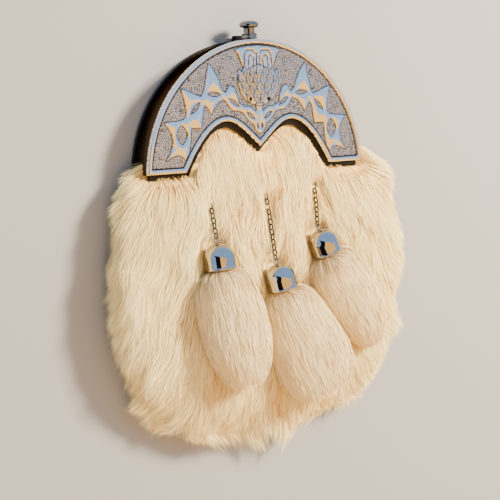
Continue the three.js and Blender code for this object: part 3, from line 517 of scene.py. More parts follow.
def inside(points, outline):
    corners = np.asarray(outline, float)
    x, y = points.T
    odd = np.zeros(len(points), bool)
    for (ax, ay), (bx, by) in zip(corners, np.roll(corners, -1, 0)):
        if ay == by:
            continue
        crosses = (ay > y) != (by > y)
        odd ^= crosses & (x < (bx - ax) * (y - ay) / (by - ay) + ax)
    return odd


def depth_in(points, outline):
    """Distance from an outline, above zero inside and below zero outside."""
    return np.where(inside(points, outline), 1, -1) * to_line(points, outline, True)


def almond(points, a, b, width):
    """Depth inside a pointed oval between two ends."""
    a, b = np.array(a, float), np.array(b, float)
    along = b - a
    length = np.hypot(*along)
    unit = along / length
    t = np.clip((points - a) @ unit / length, 0, 1)
    across = np.abs((points - a) @ np.array([-unit[1], unit[0]]))
    edge = width / 2 * np.sin(np.pi * t) ** 0.8
    past = np.maximum(0, np.abs((points - a) @ unit - length / 2) - length / 2)
    return edge - across - past * 2


# %% [markdown]
# The thistle's bulb is a low dome covered in overlapping scales, each a pointed oval with a slit.
# Above it stand the flower's strands between two narrow leaves, cut by fine grooves.

# %% Height of the relief
# Rows of scales: height, count and half the row's spread.
scale_rows = [(44.0, 4, 7.0), (48.4, 5, 9.8), (52.8, 6, 11.6), (57.0, 5, 8.6)]
SCALE_LONG, SCALE_WIDE = 7.4, 3.7
low_slits = [((-6.6, 40.7), (-6.2, 43.2)), ((0, 40.0), (0, 43.2)), ((6.2, 40.7), (6.6, 43.2))]
GROUND = 0.3  # how high the pebbles of the ground stand
grooves = [
    [(-9.6, 60.5), (-9.4, 66.6), (-7.8, 68.8), (-3.4, 68.7), (-2.3, 67.2)],
    [(-6.9, 59.5), (-6.4, 65.2), (-5.3, 66.4), (-4.2, 65.4)],
    [(9.6, 60.5), (9.0, 66.6), (7.4, 68.8), (2.6, 68.7), (1.5, 67.2)],
    [(6.9, 59.5), (6.6, 65.2), (5.3, 66.4), (4.0, 65.4)],
    [(-3.8, 58.5), (-2.9, 65.0)],
    [(-1.3, 57.0), (-1.0, 67.5)],
    [(1.4, 57.0), (1.0, 66.0)],
    [(3.9, 58.5), (3.0, 64.5)],
    [(-11.5, 61.0), (-13.9, 67.4)],
    [(11.3, 61.0), (13.7, 67.4)],
]


def pebbles(points, rng, pitch=1.25):
    """Rounded pebbles on a jittered lattice: 1 on a pebble's top and 0 in the gaps."""
    count = np.ceil(np.ptp(points, axis=0) / pitch).astype(int) + 3
    low = points.min(0) - pitch
    jitter = rng.uniform(0.05, 0.95, (*count, 2))
    cell = ((points - low) / pitch).astype(int)
    near = np.full((len(points), 2), 1e9)
    for dx in (-1, 0, 1):
        for dy in (-1, 0, 1):
            at = np.clip(cell + (dx, dy), 0, count - 1)
            centre = low + (at + jitter[at[:, 0], at[:, 1]]) * pitch
            far = np.hypot(*(points - centre).T)
            near = np.sort(np.column_stack([near, far]), 1)[:, :2]
    return smooth((near[:, 1] - near[:, 0]) / (0.55 * pitch))


def edge_step(depth):
    """A step half a millimetre wide, from 0 outside an outline to 1 inside."""
    return smooth(depth / 0.5 + 0.5)


def shade_line(depth, wide):
    """A dark line of painted shade round a raised shape."""
    return smooth(1 + (depth + 0.15) / wide) * smooth(-depth / 0.2 + 0.7)


def scales(points):
    """How far the bulb's scales stand up, and how deep the slits in and between them are."""
    raised, slit = np.zeros(len(points)), np.zeros(len(points))
    for height, count, spread in scale_rows:
        for across in (2 * i / (count - 1) - 1 for i in range(count)):
            lean = across * 3.0
            a = (across * spread - lean * 0.3, height - SCALE_LONG / 2)
            b = (across * spread + lean * 0.5, height + SCALE_LONG / 2)
            inner = almond(points, a, b, SCALE_WIDE)
            top = smooth((inner + 0.1) / 0.5) - 0.75 * smooth((inner - 0.95) / 0.35)
            raised = np.maximum(raised, top * 0.62)
            line = smooth(1 - np.abs(inner + 0.1) / 0.45)
            slit = np.maximum(slit, 0.5 * smooth((inner - 0.8) / 0.35) + 0.95 * line)
    for a, b in low_slits:
        slit = np.maximum(slit, smooth(almond(points, a, b, 2.2) / 0.3 + 0.5))
    return raised, slit


def relief(points, rng):
    """Height over the plate's front, and the painted shade of its hollows, for points of the plate.
    """
    x, y = points.T
    folded = np.stack([-np.abs(x), y], 1)
    rim = to_line(points, outline, True)
    leaf = depth_in(folded, scroll)
    for a, b, width in eyes:
        leaf = np.minimum(leaf, -almond(folded, a, b, width))
    blade = edge_step(leaf) * (0.62 + 0.85 * (1 - np.exp(-np.maximum(leaf, 0) / 2.2)))
    dome_in = depth_in(np.abs(points), bulb)
    round_top = np.sqrt(np.clip(1 - (x / 15) ** 2 - ((y - 49.5) / 13) ** 2, 0, 1))
    dome = edge_step(dome_in) * (0.55 + 0.75 * round_top)
    raised, slit = scales(points)
    on_dome = smooth(dome_in / 0.4)
    slit = slit * on_dome
    dome = dome + on_dome * (raised - 0.35 * np.clip(slit, 0, 1))
    flower = depth_in(np.abs(points), fan)
    line = np.min([to_line(points, groove) for groove in grooves], 0)
    cut = smooth(1 - line / 0.55)
    tuft = edge_step(flower) * (0.95 - 0.7 * cut)
    height = np.maximum.reduce([blade, dome, tuft])
    stone = pebbles(points, rng)
    ground = smooth(1 - height / GROUND)
    height = height + ground * GROUND * stone
    bead = np.clip(1 - ((rim - RIM / 2) / (RIM / 2)) ** 2, 0, 1) ** 0.5
    inner_line = smooth(1.3 - np.abs(rim - RIM - 0.4) / 0.7)
    height = np.where(rim < RIM, 0.28 + 0.85 * bead, height * smooth((rim - RIM) / 0.5))
    # Painted shade: lines round raised shapes, slits, grooves, gaps between pebbles and a line
    # inside the rim are marked dark.
    lines = [shade_line(leaf, 0.9), shade_line(dome_in, 0.9), shade_line(flower, 0.8) * (y > 60)]
    gaps = ground * (SHADE_FROM + 0.8 * (1 - stone) ** 1.4)
    hollow_shade = np.maximum.reduce([*lines, np.clip(slit, 0, 1), gaps])
    hollow_shade = np.maximum(hollow_shade, cut * (flower > 0) * (dome_in < 0.4))
    hollow_shade = np.where(rim < RIM, 0, np.maximum(hollow_shade, inner_line))
    return height, hollow_shade


# %% [markdown]
# The grid has a point every 0.4 mm. Points next to the plate's edge are drawn onto it, so that the
# outline stays clean.

# %% Plate as a fine grid
outline = plate_outline()
STEP = 0.4
wide_count, high_count = round(2 * ARC / STEP) + 4, round((ARC - LEG) / STEP) + 4
bpy.ops.object.select_all(action="DESELECT")
bpy.ops.mesh.primitive_grid_add(x_subdivisions=wide_count, y_subdivisions=high_count, size=2)
plate = bpy.context.active_object
count = len(plate.data.vertices)
grid = np.empty(count * 3)
plate.data.vertices.foreach_get("co", grid)
grid = grid.reshape(-1, 3)[:, :2] * (wide_count * STEP / 2, high_count * STEP / 2)
grid += (0, (ARC + LEG) / 2)
edge_depth = depth_in(grid, outline)


def onto_edge(points):
    """The nearest points of the plate's outline."""
    best = np.full(len(points), 1e9)
    found = points.copy()
    for a, b in zip(outline, np.roll(outline, -1, 0)):
        along = b - a
        t = np.clip(((points - a) @ along) / max(along @ along, 1e-12), 0, 1)
        near = a + t[:, None] * along
        far = np.hypot(*(points - near).T)
        closer = far < best
        best[closer], found[closer] = far[closer], near[closer]
    return found


drawn = np.abs(edge_depth) < STEP * 0.5
grid[drawn] = onto_edge(grid[drawn])
keep = (edge_depth > 0) | drawn
height, hollow_shade = relief(grid, np.random.default_rng(5))
height[drawn] = 0.1
points = placed(np.column_stack([grid, FRONT + height]))
plate.data.vertices.foreach_set("co", points.astype(np.float32).ravel())
attribute(plate, "hollow", hollow_shade)
print(f"plate: {keep.sum()} of {count} grid points kept")

# %% [markdown]
# Points outside the plate are deleted. The edge is then extruded back to the plate's thickness and
# closed.

# %% Plate as a closed shell
shell = bmesh.new()
shell.from_mesh(plate.data)
shell.verts.ensure_lookup_table()
bmesh.ops.delete(shell, geom=[v for v, k in zip(shell.verts[:], keep) if not k], context="VERTS")
bmesh.ops.dissolve_degenerate(shell, dist=0.02 * MM, edges=shell.edges[:])
loose = [v for v in shell.verts if not v.link_faces]
bmesh.ops.delete(shell, geom=loose, context="VERTS")
edge = [e for e in shell.edges if e.is_boundary]
skirt = bmesh.ops.extrude_edge_only(shell, edges=edge)["geom"]
for v in skirt:
    if isinstance(v, bmesh.types.BMVert):
        v.co.z = (FRONT - PLATE) * MM
rear = [e for e in shell.edges if e.is_boundary]
bmesh.ops.triangle_fill(shell, use_beauty=False, edges=rear)
bmesh.ops.recalc_face_normals(shell, faces=shell.faces[:])
shell.to_mesh(plate.data)
shell.free()
soften(plate, 50)
finish(plate, "relief_plate", cast, "antique_metal", "cantle_plate")

# %% [markdown]
# ## The cantle's band, backing and the leather
# These pieces need no new shape, only real edges. A copy of each plain node has its loose triangles
# merged and its flat faces joined, then a small bevel catches the light, as a filed or burnished
# edge does.


# %% Copies with real edges
def edged(name, node_name, look, slot, bevel, angle=35):
    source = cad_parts[node_name]
    copy = linked(bpy.data.objects.new(name, source.data.copy()))
    edit(copy)
    bpy.ops.mesh.remove_doubles(threshold=0.01 * MM)
    bpy.ops.mesh.dissolve_limited(angle_limit=math.radians(1))
    done()
    modify(
        copy,
        "BEVEL",
        width=bevel * MM,
        segments=2,
        limit_method="ANGLE",
        angle_limit=math.radians(40),
        use_clamp_overlap=True,
    )
    modify(copy, "TRIANGULATE")
    soften(copy, angle)
    return finish(copy, name, look, slot, node_name)


edged("arched_band", "cantle_band", shaded_band_metal, "dark_metal", 0.3)
edged("leather_backing", "cantle_backing", leather, "black_leather", 0.45)
edged("back_panel", "pouch_back", leather, "black_leather", 0.5)
edged("pocket_gusset", "pouch_gusset", leather, "black_leather", 0.3)
edged("pocket_front", "pouch_front", leather, "black_leather", 0.3)
edged("left_belt_loop", "belt_loop_left", leather, "black_leather", 0.35)
edged("right_belt_loop", "belt_loop_right", leather, "black_leather", 0.35)
for side in ("left", "middle", "right"):
    edged(f"{side}_eye_post", f"anchor_{side}", gunmetal, "chain_metal", 0.06, 60)

# %% [markdown]
# ## Turned pieces
# The clasp's collar and button and the three bell caps are turned metal. A lathe shape can be spun,
# or built as rings: a circle is extruded and scaled for each step of the profile. Rings are used
# here, because each ring's size and height can be read straight off the profile.


# %% Rings from a profile
ON_AXIS = 0.01  # the smallest radius of a ring, which merging then closes


def turned(profile, sides=64):
    """A lathe shape about Z through (radius, height) steps, which closes on itself or the axis."""
    (radius, height_now), *rest = [(max(r, ON_AXIS), z) for r, z in profile]
    bpy.ops.object.select_all(action="DESELECT")
    bpy.ops.mesh.primitive_circle_add(
        vertices=sides, radius=radius * MM, location=(0, 0, height_now * MM)
    )
    o = bpy.context.active_object
    only(o)
    bpy.ops.object.transform_apply(location=True)
    edit(o)
    for r, z in rest:
        size = r / radius
        bpy.ops.mesh.extrude_region_move(
            TRANSFORM_OT_translate={"value": (0, 0, (z - height_now) * MM)}
        )
        bpy.ops.transform.resize(value=(size, size, 1))
        radius, height_now = r, z
    bpy.ops.mesh.select_all(action="SELECT")
    bpy.ops.mesh.remove_doubles(threshold=0.03 * MM)
    bpy.ops.mesh.normals_make_consistent(inside=False)
    done()
    return o


def rounded(profile, radius):
    """Cuts the corners of a profile, so that turned edges catch the light."""
    made = [profile[0]]
    for before, corner, after in zip(profile, profile[1:], profile[2:]):
        corner = np.array(corner, float)
        for other in (before, after):
            way = np.array(other, float) - corner
            far = np.hypot(*way)
            made.append(tuple(corner + way / far * min(radius, far * 0.4)))
    return [*made, profile[-1]]


def stood(o, low_y, x, z):
    """Turns a piece from standing on Z to standing on Y, at a place of the model."""
    o.rotation_euler = (-math.pi / 2, 0, 0)
    o.location = placed((x, low_y, z))
    only(o)
    bpy.ops.object.transform_apply(location=True, rotation=True)
    return o


# %% Collar and push button
button_low, button_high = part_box("push_button")
collar_low, collar_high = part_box("button_collar")
BUTTON_Z = (button_low.z + button_high.z) / 2 / MM
NECK_SHOWN, NECK = 3.2, 3.4  # above the collar, and in all
collar_height = (collar_high.y - collar_low.y) / MM
collar_y = collar_low.y / MM - RISE
collar = turned(
    rounded(
        [
            (3.55, 0), (4.55, 0), (4.6, 0.9), (4.15, 1.25), (4.15, 2.1), (4.5, 2.45),
            (4.2, collar_height), (3.55, collar_height), (3.55, 0),
        ],
        0.15,
    )
)
stood(collar, collar_y, 0, BUTTON_Z)
soften(collar, 30)
finish(collar, "turned_collar", dark_nickel, "dark_metal", "button_collar")

foot_y = button_low.y / MM - RISE
head = collar_high.y / MM - RISE + NECK_SHOWN - foot_y
button = turned(
    rounded(
        [
            (0, 0), (2.1, 0), (2.1, 0.8), (1.4, 0.8), (1.4, head - NECK), (3.1, head - NECK),
            (3.1, head - 0.5), (3.5, head), (4.9, head + 0.1), (5.45, head + 0.9),
            (5.45, head + 1.9), (4.9, head + 2.9), (3.4, head + 3.6), (0, head + 3.9),
        ],
        0.3,
    )
)
stood(button, foot_y, 0, BUTTON_Z)
soften(button, 30)
finish(button, "clasp_button", dark_nickel, "dark_metal", "push_button", body="button")

# %% [markdown]
# ## Tassel frames
# A tassel hangs from its bell's loop. Its own frame has the loop at the origin and the fur along
# -Y, turned to where the tassel lies. The bell and the fur are made in it.


# %% Frames of the three tassels
class Tassel:
    def __init__(self, name, eye, loop, lean, rise, length, width, bend, flare, shown):
        self.name, self.length, self.half = name, length, width / 2
        self.bend, self.flare = bend, flare
        self.eye, self.loop, self.shown = Vector(eye), Vector(loop), shown
        down = Vector((lean, -length, rise)).normalized()
        turn = Vector((0, -1, 0)).rotation_difference(down)
        self.matrix = Matrix.Translation(self.loop) @ turn.to_matrix().to_4x4()
        self.turn = np.array(turn.to_matrix())
        self.origin = np.array(self.loop)

    def into(self, points):
        return (points - self.origin) @ self.turn

    def out(self, points):
        return points @ self.turn.T + self.origin


tassels = [
    Tassel("left", (-38.4, -2, 20), (-40.8, -32.2, 31), 7, 5, 81, 41, 7, 0, -12.5),
    Tassel("middle", (0.3, -5, 21), (-1.6, -47.8, 32), 21, 1, 85, 42, 14, 0.6, -9.0),
    Tassel("right", (37, -2, 20), (31, -31.8, 30.5), 31, 0, 81, 42, 11, -0.3, -6.0),
]
BELL, BELL_HIGH, BELL_TOP = 8.6, 14.0, -1.8
SHOULDER = 8.1  # how far down the bell's dome reaches
for t in tassels:
    low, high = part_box(f"bell_{t.name}")
    centre = (low + high) / 2 / MM
    print(t.name, "bell centre", [round(c, 1) for c in centre])

# %% [markdown]
# A bell cap is a thin dome with a straight skirt and a rolled lip. Its profile runs up the inside
# and down the outside, so the wall has a real thickness at the rim.

# %% Bell caps
turn_steps = np.linspace(0, math.pi / 2, 12)
outside = [(BELL * math.sin(a), -SHOULDER + SHOULDER * math.cos(a)) for a in turn_steps]
hollow_wall = [(r * 0.91, z * 0.92 - 0.75) for r, z in outside]
lip = [(BELL * 0.91, -BELL_HIGH), (BELL + 0.15, -BELL_HIGH), (BELL + 0.4, -BELL_HIGH + 0.35)]
lip += [(BELL + 0.4, -BELL_HIGH + 0.75), (BELL + 0.1, -BELL_HIGH + 1.1), (BELL, -BELL_HIGH + 1.6)]
profile = hollow_wall + lip + outside[::-1]
bell_cap = turned(profile, 96)
bpy.ops.mesh.primitive_torus_add(
    major_radius=1.6 * MM, minor_radius=0.4 * MM, major_segments=28, minor_segments=10
)
loop_ring = bpy.context.active_object
for t in tassels:
    cap, ring = twin(bell_cap), twin(loop_ring)
    cap.data.transform(
        Matrix.Translation((0, BELL_TOP * MM, 0)) @ Matrix.Rotation(-math.pi / 2, 4, "X")
    )
    whole = join([cap, ring])
    frame_of = t.matrix.copy()
    frame_of.translation = placed(t.loop)
    whole.data.transform(frame_of)
    soften(whole, 40)
    finish(whole, f"{t.name}_bell_cap", chrome, "bell_chrome", f"bell_{t.name}")
for o in (bell_cap, loop_ring):
    bpy.data.objects.remove(o)

# %% [markdown]
# ## Chains
# Each chain is a run of oval links, turned a quarter from one to the next, so that each holds its
# neighbour. One link is a torus whose halves are drawn apart. The copies are set along a slightly
# bowed line from the eye under the fur to the bell's loop.

# %% Links on a bowed line
WIRE, LINK_HALF, PITCH, HOLD = 0.4, 1.2, 3.05, 0.75
HOOK = 2 * WIRE + 0.45


def chain_line(t):
    """The chain's curve as a function of a share from 0 at the eye to 1 at the loop."""
    a = t.eye - Vector((0, 1.5, 0))
    c = t.matrix @ Vector((0, 1.6, 0))
    b = (a + c) / 2 + Vector((0, 0, 1.2))
    a = a + (a - b).normalized() * HOOK
    c = c + (c - b).normalized() * HOOK
    return lambda s: a * (1 - s) ** 2 + b * (2 * s * (1 - s)) + c * s**2


def spaced(curve, lengths):
    """Shares of a curve at these shares of its length, and its whole length."""
    fine = [curve(i / 400) for i in range(401)]
    run = np.concatenate([[0], np.cumsum([(b - a).length for a, b in zip(fine, fine[1:])])])
    return np.interp(np.asarray(lengths) * run[-1], run, np.linspace(0, 1, 401)), run[-1]


for t in tassels:
    curve = chain_line(t)
    _, length = spaced(curve, [0])
    overlap = 2 * WIRE * HOLD
    count = 2 * round((length / PITCH - 1) / 2) + 1
    pitch = (length - overlap) / count
    stretch = (pitch + overlap) / 2 - LINK_HALF - WIRE * 0.5
    bpy.ops.object.select_all(action="DESELECT")
    bpy.ops.mesh.primitive_torus_add(
        major_radius=LINK_HALF * MM, minor_radius=WIRE * MM, major_segments=24, minor_segments=10
    )
    link = bpy.context.active_object
    for v in link.data.vertices:
        if abs(v.co.y) > 0.1 * MM:
            v.co.y += math.copysign(stretch * MM, v.co.y)
    shares, _ = spaced(curve, [(overlap / 2 + (i + 0.5) * pitch) / length for i in range(count)])
    links = []
    for i, share in enumerate(shares):
        here = curve(share)
        way = (curve(share + 1e-3) - curve(share - 1e-3)).normalized()
        turn = Vector((0, -1, 0)).rotation_difference(way).to_matrix().to_4x4()
        quarter = Matrix.Rotation(math.pi / 2 if i % 2 == 0 else 0, 4, "Y")
        copy = linked(bpy.data.objects.new("link", link.data.copy()))
        copy.data.transform(Matrix.Translation(placed(here)) @ turn @ quarter)
        links.append(copy)
    bpy.data.objects.remove(link)
    whole = join(links)
    soften(whole, 60)
    finish(whole, f"{t.name}_chain", gunmetal, "chain_metal", f"chain_{t.name}")
    print(f"{t.name} chain: {count} links, {length:.1f} mm")

# %% [markdown]
# ## How fur is laid
# Fur is thousands of fine hairs that start in the hide, lean over, and lie along it. They gather in
# small locks, and the locks in larger ones. Blender has hair curves for this, but the piece has to
# be a mesh that can be carried elsewhere, so each hair is a narrow ribbon of a few faces.
# A rounded form with a known distance and normal steers them: each step goes along the flow, and is
# then drawn to its own height over the form. Guide hairs are laid first in the same way, and the
# others lean towards the nearest guide as they near their tips.


# %% Rounded form under fur
FLOOR_GAP = 0.7


class Form:
    """A rounded bar along -Y, from rows of y, half width, top and base, in millimetres.

    It is widest at the base. A flat form ends a little over the floor, and any other is as deep
    below its base as it is high above it. The middle may swing aside with y.
    """

    def __init__(self, rows, power, flat=False, swing=None):
        rows = sorted(rows)
        self.y, self.wide, self.top, self.base = (np.array(c, float) for c in zip(*rows))
        self.power, self.flat = power, flat
        self.swing = swing or (lambda y: 0 * y)

    def sizes(self, y):
        return [np.interp(y, self.y, column) for column in (self.wide, self.top, self.base)]

    def heights(self, y, lower):
        wide, top, base = self.sizes(y)
        below = base - FLOOR_GAP if self.flat else top - base
        return wide, np.where(lower, below, top - base), base

    def point(self, y, angle):
        """A point of the form: the angle runs from the right side over the front to the left."""
        c, s = np.cos(angle), np.sin(angle)
        wide, high, base = self.heights(y, s < 0)
        x = wide * np.sign(c) * np.abs(c) ** (2 / self.power)
        z = high * np.sign(s) * np.abs(s) ** (2 / self.power)
        return np.stack([x + self.swing(y), y, z + base], 1)

    def near(self, p):
        """Distance above the form and the direction away from it."""
        y = p[:, 1]
        x = p[:, 0] - self.swing(y)
        lower = p[:, 2] < self.sizes(y)[2]
        wide, high, base = self.heights(y, lower)
        more, less = self.heights(y + 0.5, lower), self.heights(y - 0.5, lower)
        wide_slope = more[0] - less[0]
        high_slope = np.where(lower & self.flat, 0, more[1] - less[1])
        z = p[:, 2] - base
        e = self.power
        u, v = np.abs(x) / wide, np.abs(z) / high
        q = np.maximum((u**e + v**e) ** (1 / e), 1e-6)
        k = q ** (1 - e)
        slope = np.stack(
            [
                np.sign(x) * u ** (e - 1) / wide * k,
                -(u**e * wide_slope / wide + v**e * high_slope / high) * k,
                np.sign(z) * v ** (e - 1) / high * k,
            ],
            1,
        )
        size = np.maximum(np.linalg.norm(slope, axis=1), 1e-9)
        return (q - 1) / size, slope / size[:, None]


def unit(v):
    return v / np.maximum(np.linalg.norm(v, axis=-1, keepdims=True), 1e-9)


def lay(form, roots, flow, length, lift, free, steps, cap=None):
    """Lays hairs from their roots: returns an array of hair, step and x, y, z.

    The flow gives each hair's direction at a place, the lift its height over the form at the tip,
    and free is how far it may leave the form, from 0 to 1.
    """
    path = [roots]
    p = roots
    for i in range(1, steps + 1):
        share = i / steps
        _, away = form.near(p)
        way = flow(p)
        along = unit(way - (way * away).sum(1)[:, None] * away * (1 - free)[:, None])
        climb = 0.9 * free + 0.25 * (1 - share)
        p = p + unit(along + away * climb[:, None]) * (length / steps)[:, None]
        over, away = form.near(p)
        want = lift * np.sin(share * math.pi * 0.62)
        p = p + away * (np.clip(want - over, -1.5, 1.5) * (1 - free))[:, None]
        if cap:
            p = cap(p)
        path.append(p)
    return np.stack(path, 1)


# %% [markdown]
# Locks come from leaning each hair towards a guide. A tree of points finds the nearest guide's
# root, and the lean grows towards the tip, where a lock draws together.


# %% Locks
def nearest(points, others):
    tree = KDTree(len(others))
    for i, p in enumerate(others):
        tree.insert(p, i)
    tree.balance()
    return np.array([tree.find(p)[1] for p in points])


def gather(hairs, guides, strength, power):
    which = nearest(hairs[:, 0], guides[:, 0])
    share = np.linspace(0, 1, hairs.shape[1]) ** power * strength
    return hairs + (guides[which] - hairs) * share[None, :, None]


TWIST = 0.5


def as_fur(o, reach, tone):
    """Gives a mesh the places and tones that the hair's colour reads, and smooth shading."""
    for label, values in (("reach", reach), ("tone", tone)):
        attribute(o, label, values + np.zeros(len(o.data.vertices)))
    only(o)
    bpy.ops.object.shade_smooth()


def ribbons(name, hairs, away, width, tone, rng):
    """One mesh of narrow tapering ribbons, a few faces each, with the places that colour needs."""
    many, steps, _ = hairs.shape
    along = unit(np.gradient(hairs, axis=1))
    side = unit(np.cross(along, away[:, None, :]))
    up = np.cross(side, along)
    turn = rng.normal(0, TWIST, many)[:, None, None]
    side = side * np.cos(turn) + up * np.sin(turn)
    taper = np.linspace(1, 0, steps)[None, :, None] ** 0.6
    half = width[:, None, None] / 2 * (0.35 + 0.65 * taper)
    left, right = hairs - side * half, hairs + side * half
    body = np.stack([left[:, :-1], right[:, :-1]], 2).reshape(many, -1, 3)
    verts = np.concatenate([body, hairs[:, -1:]], 1)
    per = verts.shape[1]
    base = np.arange(many)[:, None] * per
    quads = []
    for i in range(steps - 2):
        quads.append(base + np.array([2 * i, 2 * i + 1, 2 * i + 3, 2 * i + 2]))
    tip = base + np.array([per - 3, per - 2, per - 1])
    corners = np.concatenate([*quads, tip], 1).ravel()
    sizes = np.tile([4] * (steps - 2) + [3], many)
    o = mesh_of(name, placed(verts.reshape(-1, 3)), corners, sizes)
    reach_of = np.append(np.repeat(np.linspace(0, 1, steps)[:-1], 2), 1.0)
    as_fur(o, np.tile(reach_of, many), np.repeat(tone, per))
    across = np.append(np.tile([-0.01, 0.01], steps - 1), 0.0)
    u = 0.03 + 0.94 * np.clip(np.repeat(tone, per), 0, 1) + np.tile(across, many)
    v = 0.03 + 0.94 * np.tile(reach_of, many)
    o.data.uv_layers.new(name="OFBake")
    o.data.uv_layers["OFBake"].data.foreach_set(
        "uv", np.stack([u, v], 1)[corners].astype(np.float32).ravel()
    )
    return o


# %% [markdown]
# ## The fur front
# The front is one pelt over the pocket: wide shoulders beside the cantle, a full belly, a rounded
# bottom. The hair runs down and a little outwards, flares at the shoulders, and stands out free
# along the edge. Where a tassel or a chain lies on it, it is pressed flat.

# %% Form and flow of the pelt
pelt = Form(
    [
        (34, 54, 13.2, 7), (28, 57, 15.5, 8.5), (20, 60, 18.4, 10), (12, 70, 20.2, 12.5),
        (7, 79, 21.4, 14.5), (2, 85.5, 22.6, 15.5), (-4, 89.5, 23.4, 16), (-12, 91.5, 24.4, 16.4),
        (-22, 93.5, 25.6, 16.6), (-43, 96, 27.0, 17), (-67, 95.5, 27.6, 17),
        (-92, 91.5, 27.0, 16.5), (-110, 84.5, 25.6, 15.5), (-121, 76, 23.6, 14),
        (-129.5, 65.5, 20.8, 12.5), (-136, 51, 17.6, 11), (-139.5, 38, 15.4, 9.5),
        (-141.5, 24, 13.6, 8.5), (-142.5, 8, 12.2, 8), (-170, 4, 11, 8),
    ],
    2.6,
    True,
    lambda y: 4.2 + 3 * smooth((-70 - y) / 60) + 2 * smooth((y + 42) / 30),
)
NAP = 27.0
FUR_LOW, FUR_HIGH = -142, 31


def waves(x, y, size, seed):
    """A slow swell between -1 and 1, as broad locks push fur about."""
    swell = np.random.default_rng(seed)
    total = 0
    for _ in range(6):
        angle, phase = swell.uniform(0, 2 * math.pi, 2)
        turn = 2 * math.pi / (size * swell.uniform(0.65, 1.6))
        total = total + np.sin((x * math.cos(angle) + y * math.sin(angle)) * turn + phase)
    return total / 3.4


def pelt_flow(p):
    x, y, _ = p.T
    outward = np.sign(x) * smooth((np.abs(x) - 46) / 48)
    shoulder = smooth((y + 30) / 32) * np.abs(outward)
    bottom = smooth((-100 - y) / 40)
    parting = np.tanh(x / 6) * smooth((y + 22) / 30) * smooth(1 - np.abs(x) / 30)
    lean = 0.22 * x / 90 + 0.3 * outward + 0.6 * outward * shoulder + 0.3 * parting
    lean = lean + 0.34 * waves(x, y, 60, 1) + 0.3 * waves(x, y, 24, 2) + 0.35 * bottom * x / 60
    lean = lean + 0.14 * waves(x, y, 9, 4)
    down = -1 + 0.6 * shoulder
    back = -0.3 * np.abs(outward) + 0.1 * waves(x, y, 35, 3)
    return unit(np.stack([lean, down, back], 1))


# %% [markdown]
# The cap keeps hairs under what lies on them: behind the cantle's backing, under each chain, and
# under each tassel, whose own form says where its underside is.

# %% What lies on the pelt
tassel_rows = [
    (0, 7.6), (-0.8, 10.0), (-3, 13.4), (-6, 16.2), (-9, 18.0), (-14, 20.0), (-20, 21.2),
    (-28, 21.9), (-36, 22.0), (-44, 21.2), (-51, 19.4), (-56, 17.2), (-60, 14.2), (-63, 10.0),
    (-64.6, 5.0), (-65, 1.2),
]
ROWS_LONG, ROWS_HALF = 65.0, 22.6  # the length and half width that the rows are drawn for
RIM_Y = BELL_TOP - BELL_HIGH


def tassel_form(t):
    """A tassel's body in its own frame: flatter than wide, bent aside and flared to its end."""
    long = (t.length + RIM_Y) / ROWS_LONG
    rows = [(RIM_Y + 6, 6.8, 6.8, 0)]
    for y, half in tassel_rows:
        half = half * t.half / ROWS_HALF
        thick = half * (1 - 0.38 * float(smooth(-y / 14)))
        rows.append((RIM_Y + y * long, half * (1 + t.flare * (y / ROWS_LONG) ** 2), thick, 0))
    rows.append((RIM_Y - 90 * long, 0.5, 0.5, 0))

    def swing(y):
        return t.bend * np.clip((RIM_Y - y) / (ROWS_LONG * long), 0, 1.2)

    return Form(rows, 2.0, swing=swing)


forms = {t.name: tassel_form(t) for t in tassels}
chain_points = {}
for t in tassels:
    curve = chain_line(t)
    chain_points[t.name] = np.array([curve(s) for s in np.linspace(0, 1, 60)])[::3]
UNDER_CANTLE, CANTLE_EDGE, EDGE_SLOPE = 14.0, 3.7, 4.5
CHAIN_CLEAR, CHAIN_SLOPE, CHAIN_REACH = 1.5, 0.9, 5
BELL_CLEAR, MARGIN, SINK = 0.6, 1.0, 0.6


def press(p):
    """Draws points down that would show through the cantle, a chain, a bell or a tassel."""
    p = p.copy()
    z = p[:, 2]
    edge = depth_in(p[:, :2], outline)
    ceiling = UNDER_CANTLE + EDGE_SLOPE * np.maximum(-CANTLE_EDGE - edge, 0)
    for t in tassels:
        line = chain_points[t.name]
        far = np.hypot(p[:, None, 0] - line[None, :, 0], p[:, None, 1] - line[None, :, 1])
        nearest_far = far.min(1)
        near_chain = line[far.argmin(1), 2] - CHAIN_CLEAR
        near_chain = near_chain + CHAIN_SLOPE * np.maximum(nearest_far - CHAIN_CLEAR, 0)
        bare = (nearest_far < CHAIN_REACH) & (p[:, 1] < t.shown)
        ceiling = np.minimum(ceiling, np.where(bare, near_chain, 1e3))
        local = t.into(p)
        along = local[:, 1]
        wide, high, _ = forms[t.name].sizes(along)
        in_bell = along > RIM_Y
        wide = np.where(in_bell, BELL + BELL_CLEAR, wide)
        high = np.where(in_bell, BELL + BELL_CLEAR, high)
        aside = np.abs(local[:, 0] - forms[t.name].swing(along))
        share = np.clip(aside / (wide + MARGIN), 0, 1)
        beyond = np.maximum(aside - wide - MARGIN, 0) + np.maximum(along - MARGIN, 0)
        beyond = beyond + np.maximum(-t.length - along, 0)
        under = t.origin[2] + along * t.turn[2, 1] - high * np.sqrt(1 - share**2)
        ceiling = np.minimum(ceiling, under + SINK + 1.2 * beyond + 0.5 * beyond**2)
    p[:, 2] = np.clip(np.minimum(z, ceiling), FLOOR_GAP, None)
    return p


# %% [markdown]
# The hide itself is a thin curved sheet under the hair. It fills the look of the fur between the
# hairs, and has its own thickness, so that nothing shows through from behind. Where the fur is
# pressed down, the hide sinks up to a millimetre further, so that hair still covers it.


